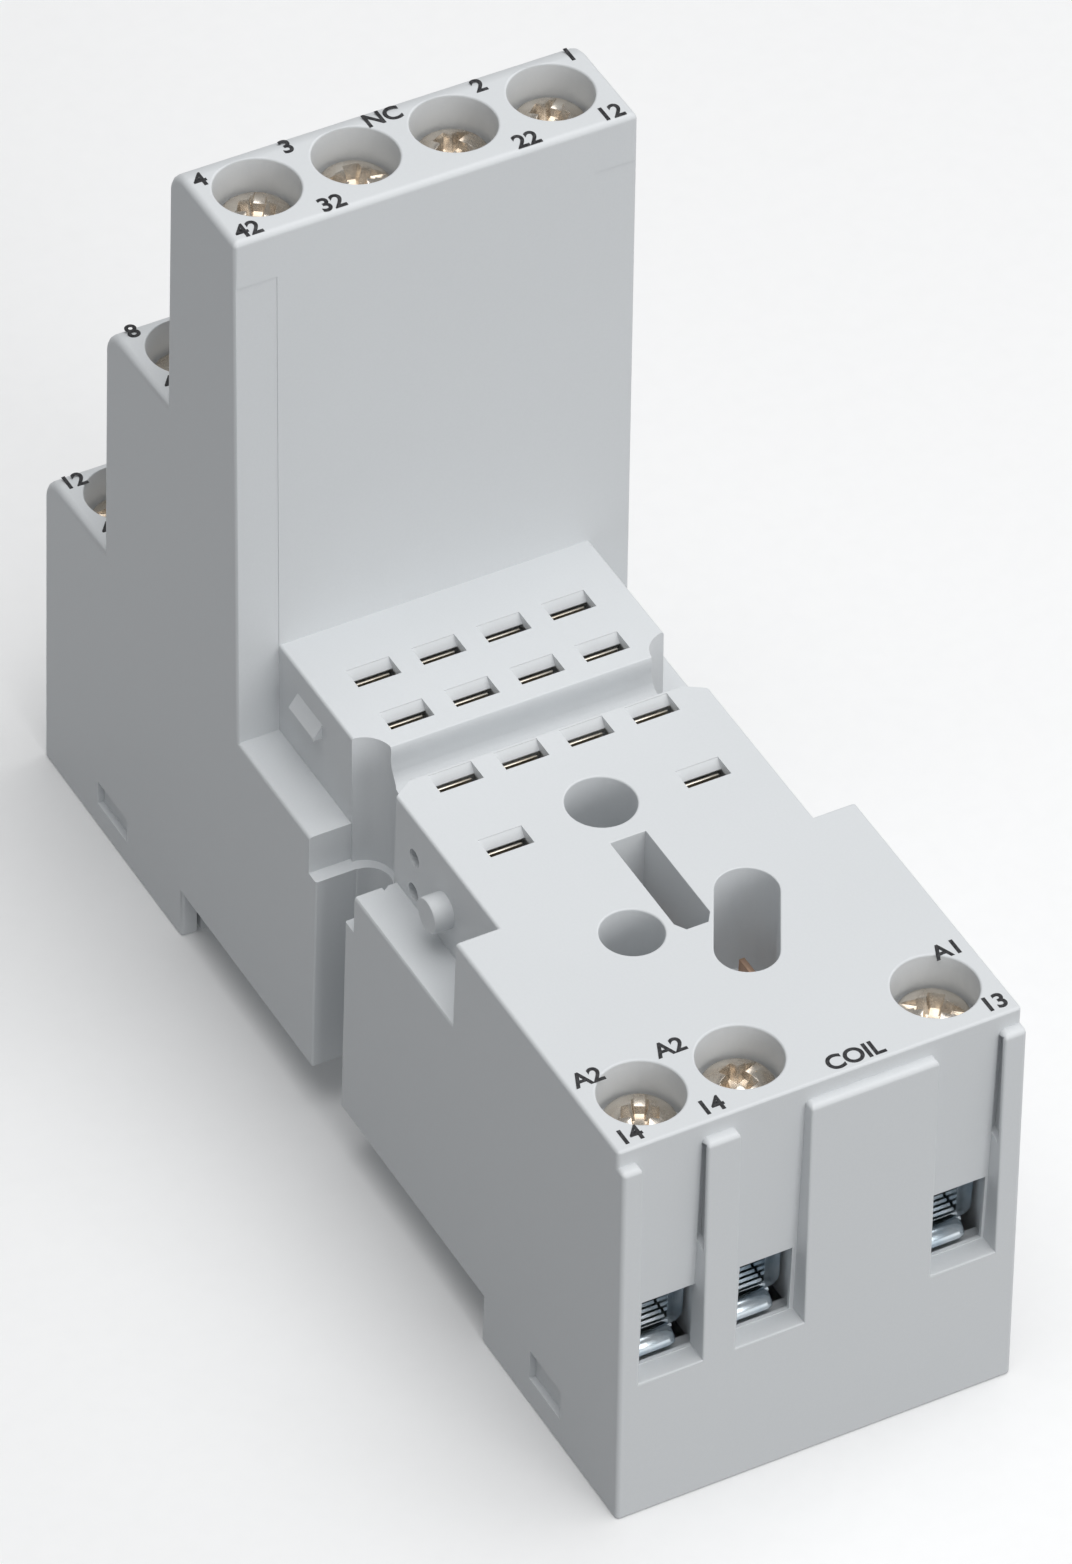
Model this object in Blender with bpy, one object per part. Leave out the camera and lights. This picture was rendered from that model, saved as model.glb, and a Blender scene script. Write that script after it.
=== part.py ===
"""A 14-pin, four-pole plug-in relay socket for a 35 mm rail, with stepped screw terminals.

Lengths are in millimetres and become metres as each mesh is made. Inside this file x runs across
the width from the middle, y runs back from the coil end, and z rises from the surface that the
socket stands on. An empty moves the whole socket so that its origin is the middle of its underside.
"""
import math

import bmesh
import bpy
from mathutils import Matrix, Vector

MM = 0.001

# Overall size
WIDTH = 27.0
LENGTH = 75.0
HALF = WIDTH / 2
WALL = 1.4
GAP = 0.3

# Heights
DECK_Z = 28.8        # the coil block's top and the relay seat lie in one plane
TOWER_Z = 60.4
MIDDLE_Z = 41.8
LOW_Z = 23.7
LEDGE_Z = 22.1       # side ledges beside the narrow neck
NOTCH_Z = 19.2       # floor of the side channel above the gap
RAIL_Z = 3.7         # roof of the rail recess
RELIEF = 0.3         # how much higher the roof is above the rail hook and the latch nose

# Lengths back from the coil end
FACE_Y = 1.85        # plane of the wire channels in the coil end
NECK_Y = 21.6        # the coil block narrows behind this line
BLOCK_Y = 35.3
SEAT_Y = 38.2
TOWER_FOOT_Y = 48.99
TOWER_Y = 50.5
TOWER_BACK_Y = 58.8
MIDDLE_BACK_Y = 66.9
RAIL_FRONT_Y = 16.75
RAIL_BACK_Y = 56.05
NECK = 10.65         # half width of the neck and of the seat
BACK_ROUND = 1.9     # radius of the top rear edge of the tower and of both lower steps
NOTCH_FRONT_Y = 33.9
NOTCH_BACK_Y = 39.7
GAP_FRONT_Y = 35.0
GAP_BACK_Y = 38.75
GAP_DEPTH = 2.75     # how deep the gaps behind the coil block cut into the sides
GAP_ROUND = (37.2, 1.5)  # centre and radius of each gap's rounded inner end
CHANNELS = [(-12.15, -7.85), (-5.65, -1.0), (7.6, 12.0)]  # wire channels in the coil end
CHANNEL_FLOOR = 10.5
SKIM = 0.08          # how far the tower's side strips stand back
SKIM_TOP = 57.0
WAIST = 8.45         # half width of the hollow between the two gaps
FORK_ROOM = 8.3      # half width of the hollow round the pin receptacles
FACE_LEAN = 1.1      # how far the proud panel leans back over its height
PANEL_Z = 27.6

# The hollow inside
BASE_ROOM_Z = 9.6    # roof of the low room that the base cover closes
FRONT_ROOM = (11.9, 33.6, 18.4)   # from, to and roof of the room under the coil block
WAIST_ROOM = (33.5, 40.3, 17.8)
SEAT_ROOM = (40.2, 48.8, 20.7)
PIN_ROOM = (31.6, 47.9, 15.0, 24.0)
COIL_PIN_ROOM = (26.0, 2.0)       # front and half width of the room round each coil pin
SHAFT_Y = 51.2       # front of the shafts in the tower
COIL_SHAFT_Y = 12.0  # back of the shafts under the coil terminals
SHAFT_FLOOR_Z = 9.4

# Blind holes in the deck
HOLE_FLOOR_Z = 20.6
DECK_ROUNDS = [(0.0, 28.4, 2.2), (-3.8, 17.7, 1.97)]
KEYED_SLOT = [(-1.25, 25.0), (-1.25, 17.2), (-0.8, 16.5), (0.65, 16.5), (1.15, 17.2), (1.15, 25.0)]
MODULE_WELL = (2.78, 15.62)
MODULE_TURN = -29.4
MODULE_CONTACTS = [(3.95, 16.4), (0.0, 22.0)]

# Small details on the sides
PEG = (27.9, 24.95, 1.25, 1.6)    # distance back, height, radius and length
PEG_HOLES = (31.85, 0.6, (25.8, 23.05))
NOSE = (43.6, 46.8)
SNAP_POCKETS = [(7.1, 10.9, 2.1, 4.4), (63.5, 67.5, 1.9, 3.75)]
POCKET_DEPTH = 0.45
GATE = (6.8, 3.3)    # half width and height of the latch's opening in the rear wall

# Terminals: column pitch, and depths below each terminal's own top face
COLUMN = 6.55
HOLE_R = 2.65
SHELF_DEPTH = 3.05    # the shelf that a screw's head turns on
SHELF_T = 0.7
SCREW_PASS = 1.9      # radius of the hole through the shelf
SCREW_HEAD_DEPTH = 2.75
SCREW_LENGTH = 8.95
CHAMBER = 2.6        # half width of a terminal chamber
BAR_DEPTH = 12.0
BAR_T = 0.7
WINDOW_DEPTH = 13.0
WINDOW_BOTTOM = 17.85
CAGE_FLOOR_DEPTH = 17.9
LIP_REACH = 3.6       # from a screw's axis to the tip of its clamp's rolled lip
LIP_SPAN = (-1.45, 1.2)

# Pins of the relay
PIN_PITCH = 4.45
PIN_ROWS = {"common": 34.2, "open": 40.4, "closed": 44.6}
COIL_PIN_Y = 27.9
SLOT = (2.92, 1.64)

COLUMNS = [COLUMN * (k - 1.5) for k in range(4)]
ROOM = COLUMNS[3] + CHAMBER  # half width of the hollow inside
PINS = [PIN_PITCH * (k - 1.5) for k in range(4)]
ROWS = {  # terminal row: (distance back, top face, inner face of its wire wall, digit of its terminals)
    "closed": (54.6, TOWER_Z, 57.5, 2),
    "open": (62.9, MIDDLE_Z, 65.6, 4),
    "common": (71.0, LOW_Z, 73.7, 1),
}
COIL_Y = 5.7
COIL_TERMINALS = {"A2_left": COLUMNS[0], "A2_right": COLUMNS[1], "A1": COLUMNS[3]}


def lean_y(z):
    """The tower's front face leans back as it rises."""
    share = (z - LEDGE_Z) / (TOWER_Z - LEDGE_Z)
    return TOWER_FOOT_Y + (TOWER_Y - TOWER_FOOT_Y) * share


# ---------------------------------------------------------------- shapes
def prism(shape, outline, low, high, axis="X"):
    """Adds an outline, (y, z) along X or (x, y) along Z, extruded from low to high."""
    place = (lambda a, b, c: (c, a, b)) if axis == "X" else (lambda a, b, c: (a, b, c))
    ends = [[shape.verts.new(place(a, b, c)) for a, b in outline] for c in (low, high)]
    for ring in ends:
        shape.faces.new(ring)
    for k in range(len(outline)):
        after = (k + 1) % len(outline)
        shape.faces.new((ends[0][k], ends[0][after], ends[1][after], ends[1][k]))
    return shape


def box(shape, low, high):
    outline = [(low[0], low[1]), (high[0], low[1]), (high[0], high[1]), (low[0], high[1])]
    return prism(shape, outline, low[2], high[2], "Z")


def circle(x, y, radius, sides, start=0.0, turn=2 * math.pi):
    """Points round a centre, or along an arc of it when turn is less than a full circle."""
    steps = sides if turn == 2 * math.pi else sides + 1
    angles = [start + turn * k / sides for k in range(steps)]
    return [(x + radius * math.cos(a), y + radius * math.sin(a)) for a in angles]


def cylinder(shape, x, y, radius, low, high, sides=24):
    return prism(shape, circle(x, y, radius, sides, math.pi / sides), low, high, "Z")


def side_cylinder(shape, y, z, radius, low, high, sides=16):
    return prism(shape, circle(y, z, radius, sides, math.pi / sides), low, high, "X")


def lathe(shape, profile, sides):
    """Adds a turned solid about z from (radius, z) points; both ends lie on the axis."""
    rings = []
    for radius, z in profile:
        count = sides if radius else 1
        angles = [2 * math.pi * k / sides for k in range(count)]
        rings.append([shape.verts.new((radius * math.cos(a), radius * math.sin(a), z)) for a in angles])
    for lower, upper in zip(rings, rings[1:]):
        for k in range(sides):
            after = (k + 1) % sides
            corners = [lower[k % len(lower)], lower[after % len(lower)]]
            corners += [upper[after % len(upper)], upper[k % len(upper)]]
            shape.faces.new(list(dict.fromkeys(corners)))
    return shape


def mesh_of(name, shape):
    bmesh.ops.recalc_face_normals(shape, faces=shape.faces)
    bmesh.ops.scale(shape, vec=(MM, MM, MM), verts=shape.verts)
    mesh = bpy.data.meshes.new(name)
    shape.to_mesh(mesh)
    shape.free()
    return mesh


def combined(name, shape, steps):
    """The mesh of a shape after Booleans: steps is a list of (operation, shape)."""
    body = bpy.data.objects.new(name, mesh_of(name, shape))
    bpy.context.scene.collection.objects.link(body)
    tools = []
    for operation, tool_shape in steps:
        tool = bpy.data.objects.new(f"{name}_tool", mesh_of(f"{name}_tool", tool_shape))
        bpy.context.scene.collection.objects.link(tool)
        tool.hide_render = True
        tool.display_type = "WIRE"
        tools.append(tool)
        cut = body.modifiers.new(f"{operation.lower()}_{len(tools)}", "BOOLEAN")
        cut.operation = operation
        cut.solver = "EXACT"
        cut.object = tool
    graph = bpy.context.evaluated_depsgraph_get()
    mesh = bpy.data.meshes.new_from_object(body.evaluated_get(graph))
    for helper in [body, *tools]:
        bpy.data.objects.remove(helper)
    mesh.name = name
    mesh.materials.clear()
    return mesh


def material(name, colour, roughness, metallic=0.0):
    made = bpy.data.materials.new(name)
    made.use_nodes = True
    surface = made.node_tree.nodes["Principled BSDF"]
    surface.inputs["Base Color"].default_value = (*colour, 1.0)
    surface.inputs["Roughness"].default_value = roughness
    surface.inputs["Metallic"].default_value = metallic
    return made


def place(name, mesh, finish, parent, location=(0, 0, 0)):
    """Links a mesh as one named piece of the socket."""
    piece = bpy.data.objects.new(name, mesh)
    bpy.context.scene.collection.objects.link(piece)
    piece.parent = parent
    piece.location = Vector(location) * MM
    if not mesh.materials:
        mesh.materials.append(finish)
    mesh.shade_smooth()
    mesh.set_sharp_from_angle(angle=math.radians(35))
    return piece


# ---------------------------------------------------------------- housing
def back_edge(y, z):
    """The rounded top rear edge of a step whose sharp corner would be at (y, z)."""
    return circle(y - BACK_ROUND, z - BACK_ROUND, BACK_ROUND, 6, 0, math.pi / 2)


def side_outline():
    """The housing seen from its side, as (y, z), with the leaning panel left out."""
    groove = circle(SEAT_Y - 1.6, DECK_Z - 1.0, 1.6, 4, 0, -math.pi / 2)
    return [
        (FACE_Y, 0),
        (RAIL_FRONT_Y, 0),
        (RAIL_FRONT_Y, RAIL_Z),
        (RAIL_BACK_Y, RAIL_Z),
        (RAIL_BACK_Y, 0),
        (LENGTH, 0),
        *back_edge(LENGTH, LOW_Z),
        (MIDDLE_BACK_Y, LOW_Z),
        *back_edge(MIDDLE_BACK_Y, MIDDLE_Z),
        (TOWER_BACK_Y, MIDDLE_Z),
        *back_edge(TOWER_BACK_Y, TOWER_Z),
        (TOWER_Y, TOWER_Z),
        (lean_y(DECK_Z), DECK_Z),
        (SEAT_Y, DECK_Z),
        *groove,
        (BLOCK_Y, DECK_Z - 2.6),
        (BLOCK_Y, DECK_Z),
        (FACE_Y, DECK_Z),
    ]


def leaning_panel():
    shape = bmesh.new()
    outline = [(0, 0), (FACE_Y + 2, 0), (FACE_Y + 2, PANEL_Z), (FACE_LEAN, PANEL_Z)]
    return prism(shape, outline, -HALF, HALF)


def wire_channels():
    """Three shallow channels down the coil end, between proud ribs."""
    shape = bmesh.new()
    for low, high in CHANNELS:
        box(shape, (low, -1, CHANNEL_FLOOR), (high, FACE_Y, DECK_Z + 1))
    return shape


def side_steps():
    """What the two sides lose beside the neck: the ledges, the channels and a skim of the tower."""
    outline = [
        (NECK_Y, LEDGE_Z),
        (NOTCH_FRONT_Y, LEDGE_Z),
        (NOTCH_FRONT_Y, NOTCH_Z),
        (NOTCH_BACK_Y, NOTCH_Z),
        (NOTCH_BACK_Y, LEDGE_Z),
        (lean_y(LEDGE_Z) + SKIM, LEDGE_Z),
        (lean_y(SKIM_TOP) + SKIM, SKIM_TOP),
        (NECK_Y, SKIM_TOP),
    ]
    shape = bmesh.new()
    for low, high in ((-HALF - 1, -NECK), (NECK, HALF + 1)):
        prism(shape, outline, low, high)
    return shape


def side_gaps():
    """The narrow gaps between the coil block and the tower's side walls."""
    shape = bmesh.new()
    y, radius = GAP_ROUND
    for side in (-1, 1):
        inner, outer = side * (HALF - GAP_DEPTH), side * (HALF + 1)
        outline = circle(inner, y, radius, 12, -math.pi / 2, side * -math.pi)
        outline += [(inner, GAP_BACK_Y), (outer, GAP_BACK_Y), (outer, GAP_FRONT_Y), (inner, GAP_FRONT_Y)]
        prism(shape, outline, -1, NOTCH_Z + 0.5, "Z")
    return shape


def seat_corners():
    """Hollow rounds at the seat's front corners, for the legs of a retaining clip."""
    shape = bmesh.new()
    for side in (-1, 1):
        cylinder(shape, side * (NECK + 0.1), SEAT_Y - 0.1, 1.85, NOTCH_Z, DECK_Z + 1, 20)
    return shape


def block_corners():
    """Bevels on the coil block's rear corners."""
    shape = bmesh.new()
    for side in (-1, 1):
        outline = [(side * (NECK - 1.6), BLOCK_Y), (side * (NECK + 1), BLOCK_Y - 2.6 * 0.65)]
        outline.append((side * (NECK + 1), BLOCK_Y + 0.1))
        outline.append((side * (NECK - 1.6), BLOCK_Y + 0.1))
        prism(shape, outline, NOTCH_Z + 0.2, DECK_Z + 1, "Z")
    return shape


def rooms():
    """The boxes of the hollow under the deck and round the contacts. It is open below."""
    front = FACE_Y + WALL
    coil_y, coil_half = COIL_PIN_ROOM
    pin_front, pin_back, pin_low, pin_high = PIN_ROOM
    found = [
        ((-ROOM, front, -1), (ROOM, FRONT_ROOM[1], BASE_ROOM_Z)),
        ((-ROOM, FRONT_ROOM[0], BASE_ROOM_Z - 0.1), (ROOM, FRONT_ROOM[1], FRONT_ROOM[2])),
        ((-WAIST, WAIST_ROOM[0], -1), (WAIST, WAIST_ROOM[1], WAIST_ROOM[2])),
        ((-ROOM, SEAT_ROOM[0], -1), (ROOM, SEAT_ROOM[1], SEAT_ROOM[2])),
        ((-ROOM, SEAT_ROOM[1] - 0.1, -1), (ROOM, LENGTH - WALL + 0.1, BASE_ROOM_Z)),
        ((-FORK_ROOM, pin_front, pin_low), (FORK_ROOM, pin_back, pin_high)),
    ]
    for x in (PINS[0], PINS[3]):
        found.append(((x - coil_half, coil_y, pin_low), (x + coil_half, pin_front + 0.2, pin_high)))
    return found


def rear_chambers():
    """One stepped shaft behind the seat for each column of three terminals."""
    shelf = SHELF_DEPTH + SHELF_T
    front = SEAT_ROOM[1] - 0.2
    outline = [
        (front, SHAFT_FLOOR_Z),
        (ROWS["common"][2], SHAFT_FLOOR_Z),
        (ROWS["common"][2], LOW_Z - shelf),
        (ROWS["open"][2], LOW_Z - shelf),
        (ROWS["open"][2], MIDDLE_Z - shelf),
        (ROWS["closed"][2], MIDDLE_Z - shelf),
        (ROWS["closed"][2], TOWER_Z - shelf),
        (SHAFT_Y, TOWER_Z - shelf),
        (SHAFT_Y, SEAT_ROOM[2]),
        (front, SEAT_ROOM[2]),
    ]
    shape = bmesh.new()
    for x in COLUMNS:
        prism(shape, outline, x - CHAMBER, x + CHAMBER)
    return shape


def coil_chambers():
    shape = bmesh.new()
    for x in COIL_TERMINALS.values():
        low = (x - CHAMBER, FACE_Y + WALL, SHAFT_FLOOR_Z)
        box(shape, low, (x + CHAMBER, COIL_SHAFT_Y, DECK_Z - SHELF_DEPTH - SHELF_T))
    return shape


def terminals():
    """Name, column, distance back and top face of every terminal."""
    found = [(name, x, COIL_Y, DECK_Z) for name, x in COIL_TERMINALS.items()]
    for y, top, _, digit in ROWS.values():
        found += [(f"{4 - k}{digit}", x, y, top) for k, x in enumerate(COLUMNS)]
    return found


def screw_wells(radius, low_depth, high_depth):
    shape = bmesh.new()
    for _, x, y, top in terminals():
        cylinder(shape, x, y, radius, top - low_depth, top - high_depth, 24)
    return shape


def wire_windows():
    shape = bmesh.new()
    for x in COIL_TERMINALS.values():
        box(shape, (x - 1.8, FACE_Y - 1, CHANNEL_FLOOR), (x + 1.8, FACE_Y + WALL + 1, 15.65))
    for _, top, inner, _ in ROWS.values():
        for x in COLUMNS:
            box(shape, (x - 2.0, inner - 1, top - WINDOW_BOTTOM), (x + 2.0, inner + 3, top - WINDOW_DEPTH))
    return shape


def pin_positions():
    """(x, y) of the relay's fourteen pins."""
    found = [(x, y) for y in PIN_ROWS.values() for x in PINS]
    return found + [(PINS[0], COIL_PIN_Y), (PINS[3], COIL_PIN_Y)]


def pin_slots():
    """A lead-in slot for each pin: its back wall slopes."""
    half_x, half_y = SLOT[0] / 2, SLOT[1] / 2
    shape = bmesh.new()
    for x, y in pin_positions():
        outline = [(y - half_y, DECK_Z - 1.5), (y + 0.2, DECK_Z - 1.5), (y + 0.2, DECK_Z - 1.2)]
        outline += [(y + half_y, DECK_Z), (y + half_y, DECK_Z + 1), (y - half_y, DECK_Z + 1)]
        prism(shape, outline, x - half_x, x + half_x)
    return shape


def pin_chambers():
    shape = bmesh.new()
    for x, y in pin_positions():
        box(shape, (x - 1.7, y - 1.2, 23.5), (x + 1.7, y + 1.2, DECK_Z - 1.3))
    return shape


def deck_recesses():
    """The blind holes in the deck: two round ones, a keyed slot and the module's oblong well."""
    shape = bmesh.new()
    for x, y, radius in DECK_ROUNDS:
        cylinder(shape, x, y, radius, HOLE_FLOOR_Z, DECK_Z + 1, 24)
    for outline in (KEYED_SLOT, module_well()):
        prism(shape, outline, HOLE_FLOOR_Z, DECK_Z + 1, "Z")
    return shape


def module_well(radius=1.96, reach=2.49, sides=10):
    """The module well's oblong outline, turned on the deck."""
    ends = circle(0, reach, radius, sides, 0, math.pi) + circle(0, -reach, radius, sides, math.pi, math.pi)
    turn = Matrix.Rotation(math.radians(MODULE_TURN), 2)
    return [tuple(turn @ Vector(point) + Vector(MODULE_WELL)) for point in ends]


def contact_slits():
    """Slits in the floors of the keyed slot and the module well, which hold the module's contacts."""
    shape = bmesh.new()
    for x, y in MODULE_CONTACTS:
        box(shape, (x - 0.5, y - 1.8, 17.0), (x + 0.5, y + 1.8, HOLE_FLOOR_Z + 0.4))
    return shape


def pegs():
    """Round pegs on the neck that a retaining clip swings on."""
    shape = bmesh.new()
    y, z, radius, length = PEG
    for low, high in ((-NECK - length, -NECK + 0.4), (NECK - 0.4, NECK + length)):
        side_cylinder(shape, y, z, radius, low, high, 16)
    return shape


def clip_noses():
    """Small wedges on the sides of the seat."""
    shape = bmesh.new()
    for side in (-1, 1):
        lines = [(side * (NECK - 0.3), 26.65), (side * NECK, 26.65), (side * (NECK + 0.45), 25.9)]
        lines += [(side * (NECK + 0.45), 25.6), (side * (NECK - 0.3), 25.6)]
        ends = [[shape.verts.new((x, y, z)) for x, z in lines] for y in NOSE]
        for ring in ends:
            shape.faces.new(ring)
        for k in range(len(lines)):
            after = (k + 1) % len(lines)
            shape.faces.new((ends[0][k], ends[0][after], ends[1][after], ends[1][k]))
    return shape


def side_pockets():
    """Small marks low on both sides: pin-sized holes by the pegs and the snap pockets of the base."""
    shape = bmesh.new()
    for side in (-1, 1):
        low, high = sorted((side * (NECK - 1.0), side * (NECK + 0.5)))
        y, radius, heights = PEG_HOLES
        for z in heights:
            side_cylinder(shape, y, z, radius, low, high, 10)
        low, high = sorted((side * (HALF - POCKET_DEPTH), side * (HALF + 1)))
        for front, back, bottom, top in SNAP_POCKETS:
            box(shape, (low, front, bottom), (high, back, top))
    return shape


def latch_gate():
    half, height = GATE
    return box(bmesh.new(), (-half, LENGTH - WALL - 1, -1), (half, LENGTH + 1, height))


def housing_mesh():
    body = prism(bmesh.new(), side_outline(), -HALF, HALF)
    steps = [
        ("UNION", leaning_panel()),
        ("DIFFERENCE", wire_channels()),
        ("DIFFERENCE", side_steps()),
        ("DIFFERENCE", side_gaps()),
        ("DIFFERENCE", seat_corners()),
        ("DIFFERENCE", block_corners()),
    ]
    steps += [("DIFFERENCE", box(bmesh.new(), low, high)) for low, high in rooms()]
    steps += [
        ("DIFFERENCE", rear_chambers()),
        ("DIFFERENCE", coil_chambers()),
        ("DIFFERENCE", screw_wells(HOLE_R, SHELF_DEPTH, -1)),
        ("DIFFERENCE", screw_wells(SCREW_PASS, SHELF_DEPTH + SHELF_T + 0.5, SHELF_DEPTH - 0.5)),
        ("DIFFERENCE", wire_windows()),
        ("DIFFERENCE", pin_slots()),
        ("DIFFERENCE", pin_chambers()),
        ("DIFFERENCE", deck_recesses()),
        ("DIFFERENCE", contact_slits()),
        ("UNION", pegs()),
        ("UNION", clip_noses()),
        ("DIFFERENCE", side_pockets()),
        ("DIFFERENCE", latch_gate()),
    ]
    return combined("housing", body, steps)


# ---------------------------------------------------------------- base and rail latch
LATCH_HALF = 6.6
BASE_T = 1.2
HOOK_Y = 18.6        # tip of the fixed hook under the rail's front flange
FLAT_ROOF = (19.0, 53.6)  # the part of the roof that bears on the rail
TUNNEL_Z = 3.0


def base_cover_mesh():
    """The plate that closes the housing from below, with the fixed rail hook and the latch's tunnel."""
    roof, relieved, above = RAIL_Z, RAIL_Z + RELIEF, RAIL_Z + BASE_T
    outline = [
        (FACE_Y + WALL + GAP, 0),
        (RAIL_FRONT_Y, 0),
        (RAIL_FRONT_Y, 0.5),
        (HOOK_Y, 0.5),
        (HOOK_Y, 1.5),
        (HOOK_Y - 0.6, 2.1),
        (RAIL_FRONT_Y, 2.1),
        (RAIL_FRONT_Y, relieved),
        (FLAT_ROOF[0], relieved),
        (FLAT_ROOF[0], roof),
        (FLAT_ROOF[1], roof),
        (FLAT_ROOF[1], relieved),
        (RAIL_BACK_Y, relieved),
        (RAIL_BACK_Y, 0),
        (LENGTH - WALL - GAP, 0),
        (LENGTH - WALL - GAP, above - 0.6),
        (RAIL_BACK_Y + 1.25, above - 0.6),
        (RAIL_BACK_Y + 1.25, above),
        (RAIL_FRONT_Y - BASE_T, above),
        (RAIL_FRONT_Y - BASE_T, BASE_T),
        (FACE_Y + WALL + GAP, BASE_T),
    ]
    inner = ROOM - GAP
    body = prism(bmesh.new(), outline, -inner, inner)
    tunnel = box(bmesh.new(), (-LATCH_HALF, RAIL_BACK_Y - 1, -1), (LATCH_HALF, LENGTH, TUNNEL_Z))
    sides = bmesh.new()
    front, back = WAIST_ROOM[0] - 0.2, WAIST_ROOM[1] + GAP
    for low, high in ((-HALF, -WAIST + GAP), (WAIST - GAP, HALF)):
        box(sides, (low, front, -1), (high, back, above + 1))
    return combined("base_cover", body, [("DIFFERENCE", tunnel), ("DIFFERENCE", sides)])


def rail_latch_mesh():
    """The sliding latch at its own origin: a plate, a nose for the rail and two sprung arms."""
    shape = bmesh.new()
    plate = [(-5.0, 1.0), (-6.2, 2.0), (-6.2, 9.0), (-5.6, 9.0), (-5.6, 3.2), (-5.0, 2.6), (-5.0, 18.6)]
    plate += [(-x, y) for x, y in reversed(plate)]
    prism(shape, plate, 0.4, 2.6, "Z")
    nose = bmesh.new()
    prism(nose, [(-2.1, 0.6), (1.5, 0.6), (1.5, 2.3), (-1.3, 2.3), (-2.1, 1.4)], -4.2, 4.2)
    slot = box(bmesh.new(), (-2.0, 14.6, -1), (2.0, 15.8, 4))
    return combined("rail_latch", shape, [("UNION", nose), ("DIFFERENCE", slot)])


# ---------------------------------------------------------------- terminals
def screw_mesh():
    """An M3 terminal screw with its underhead at the origin: domed head, slot and cross."""
    profile = [(0, -SCREW_LENGTH), (1.2, -SCREW_LENGTH), (1.5, -SCREW_LENGTH + 0.4), (1.5, 0), (2.3, 0)]
    profile += [(2.3, 0.4), (1.9, 0.85), (1.1, 1.2), (0, 1.33)]
    body = lathe(bmesh.new(), profile, 16)
    slot = box(bmesh.new(), (-2.6, -0.35, 0.55), (2.6, 0.35, 2))
    cross = box(bmesh.new(), (-0.35, -1.3, 0.45), (0.35, 1.3, 2))
    return combined("terminal_screw", body, [("DIFFERENCE", slot), ("DIFFERENCE", cross)])


def cage_mesh(wire_side):
    """A rising clamp at rest, its origin on the screw's axis at the terminal's top face.

    Its floor ends in a rolled lip on the side that the wire comes from: -1 is the coil end, 1 the back.
    """
    nut_top, nut_bottom = -10.6, -11.7
    floor_low = -CAGE_FLOOR_DEPTH
    floor_top = floor_low + 0.7
    half_x, half_y = 2.3, 2.1
    body = box(bmesh.new(), (-half_x, -half_y, floor_low), (half_x, half_y, nut_top))
    room = box(bmesh.new(), (-half_x + 0.5, -half_y - 1, floor_top), (half_x - 0.5, half_y + 1, nut_bottom))
    thread = cylinder(bmesh.new(), 0, 0, 1.8, nut_bottom - 1, nut_top + 1, 12)
    teeth = bmesh.new()
    for k in range(5):
        y = -1.5 + 0.75 * k
        prism(teeth, [(y - 0.2, floor_top + 0.1), (y, floor_top - 0.2), (y + 0.2, floor_top + 0.1)], -1.7, 1.7)
    profile = [(2.0, floor_low + 0.2), (LIP_REACH, floor_low + 0.2), (LIP_REACH, floor_top)]
    profile += [(LIP_REACH - 0.3, floor_top + 0.25), (2.0, floor_top + 0.25)]
    low, high = sorted((-wire_side * LIP_SPAN[1], -wire_side * LIP_SPAN[0]))
    lip = prism(bmesh.new(), [(wire_side * y, z) for y, z in profile], low, high)
    steps = [("DIFFERENCE", room), ("DIFFERENCE", thread), ("DIFFERENCE", teeth), ("UNION", lip)]
    return combined("clamp_cage", body, steps)


# ---------------------------------------------------------------- contacts
FORK_TOP = DECK_Z - 1.6
FORK_LOW = 21.0
STRIP = 1.25          # half width of a contact strip


def fork(x, y, stem_z):
    """Boxes of one pin receptacle: two leaves, the bridge under them and a stem down to stem_z."""
    leaves = [((x - STRIP, y + a, FORK_LOW), (x + STRIP, y + a + 0.4, FORK_TOP)) for a in (-0.95, 0.55)]
    bridge = ((x - STRIP, y - 0.95, FORK_LOW - 0.6), (x + STRIP, y + 0.95, FORK_LOW + 0.1))
    stem = ((x - STRIP, y - 0.3, stem_z), (x + STRIP, y + 0.3, FORK_LOW))
    return [*leaves, bridge, stem]


def fused(name, boxes):
    steps = [("UNION", box(bmesh.new(), low, high)) for low, high in boxes[1:]]
    return combined(name, box(bmesh.new(), *boxes[0]), steps)


def pole_strip(name, row, pin_x, column_x):
    """The strip from a pin of one of the three pole rows to its terminal behind the seat."""
    pin_y = PIN_ROWS[row]
    y, top, wall, _ = ROWS[row]
    plate_z = {"closed": 18.6, "open": 15.0, "common": top - BAR_DEPTH - BAR_T}[row]
    jog_y = {"closed": 45.9, "open": 43.2, "common": 43.2}[row]
    low_x, high_x = min(pin_x, column_x) - STRIP, max(pin_x, column_x) + STRIP
    bar_low = top - BAR_DEPTH - BAR_T
    boxes = fork(pin_x, pin_y, plate_z)
    boxes.append(((pin_x - STRIP, pin_y - 0.3, plate_z), (pin_x + STRIP, jog_y, plate_z + BAR_T)))
    boxes.append(((low_x, jog_y - 1.2, plate_z), (high_x, jog_y + 1.2, plate_z + BAR_T)))
    riser_y = y - 3.1
    if row == "common":
        riser_y = wall - 0.5
    boxes.append(((column_x - STRIP, jog_y, plate_z), (column_x + STRIP, riser_y + 0.5, plate_z + BAR_T)))
    if row != "common":
        boxes.append(((column_x - STRIP, riser_y, plate_z), (column_x + STRIP, riser_y + 0.5, bar_low + BAR_T)))
        boxes.append(((column_x - STRIP, riser_y, bar_low), (column_x + STRIP, wall - 0.5, bar_low + BAR_T)))
    return fused(name, boxes)


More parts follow.
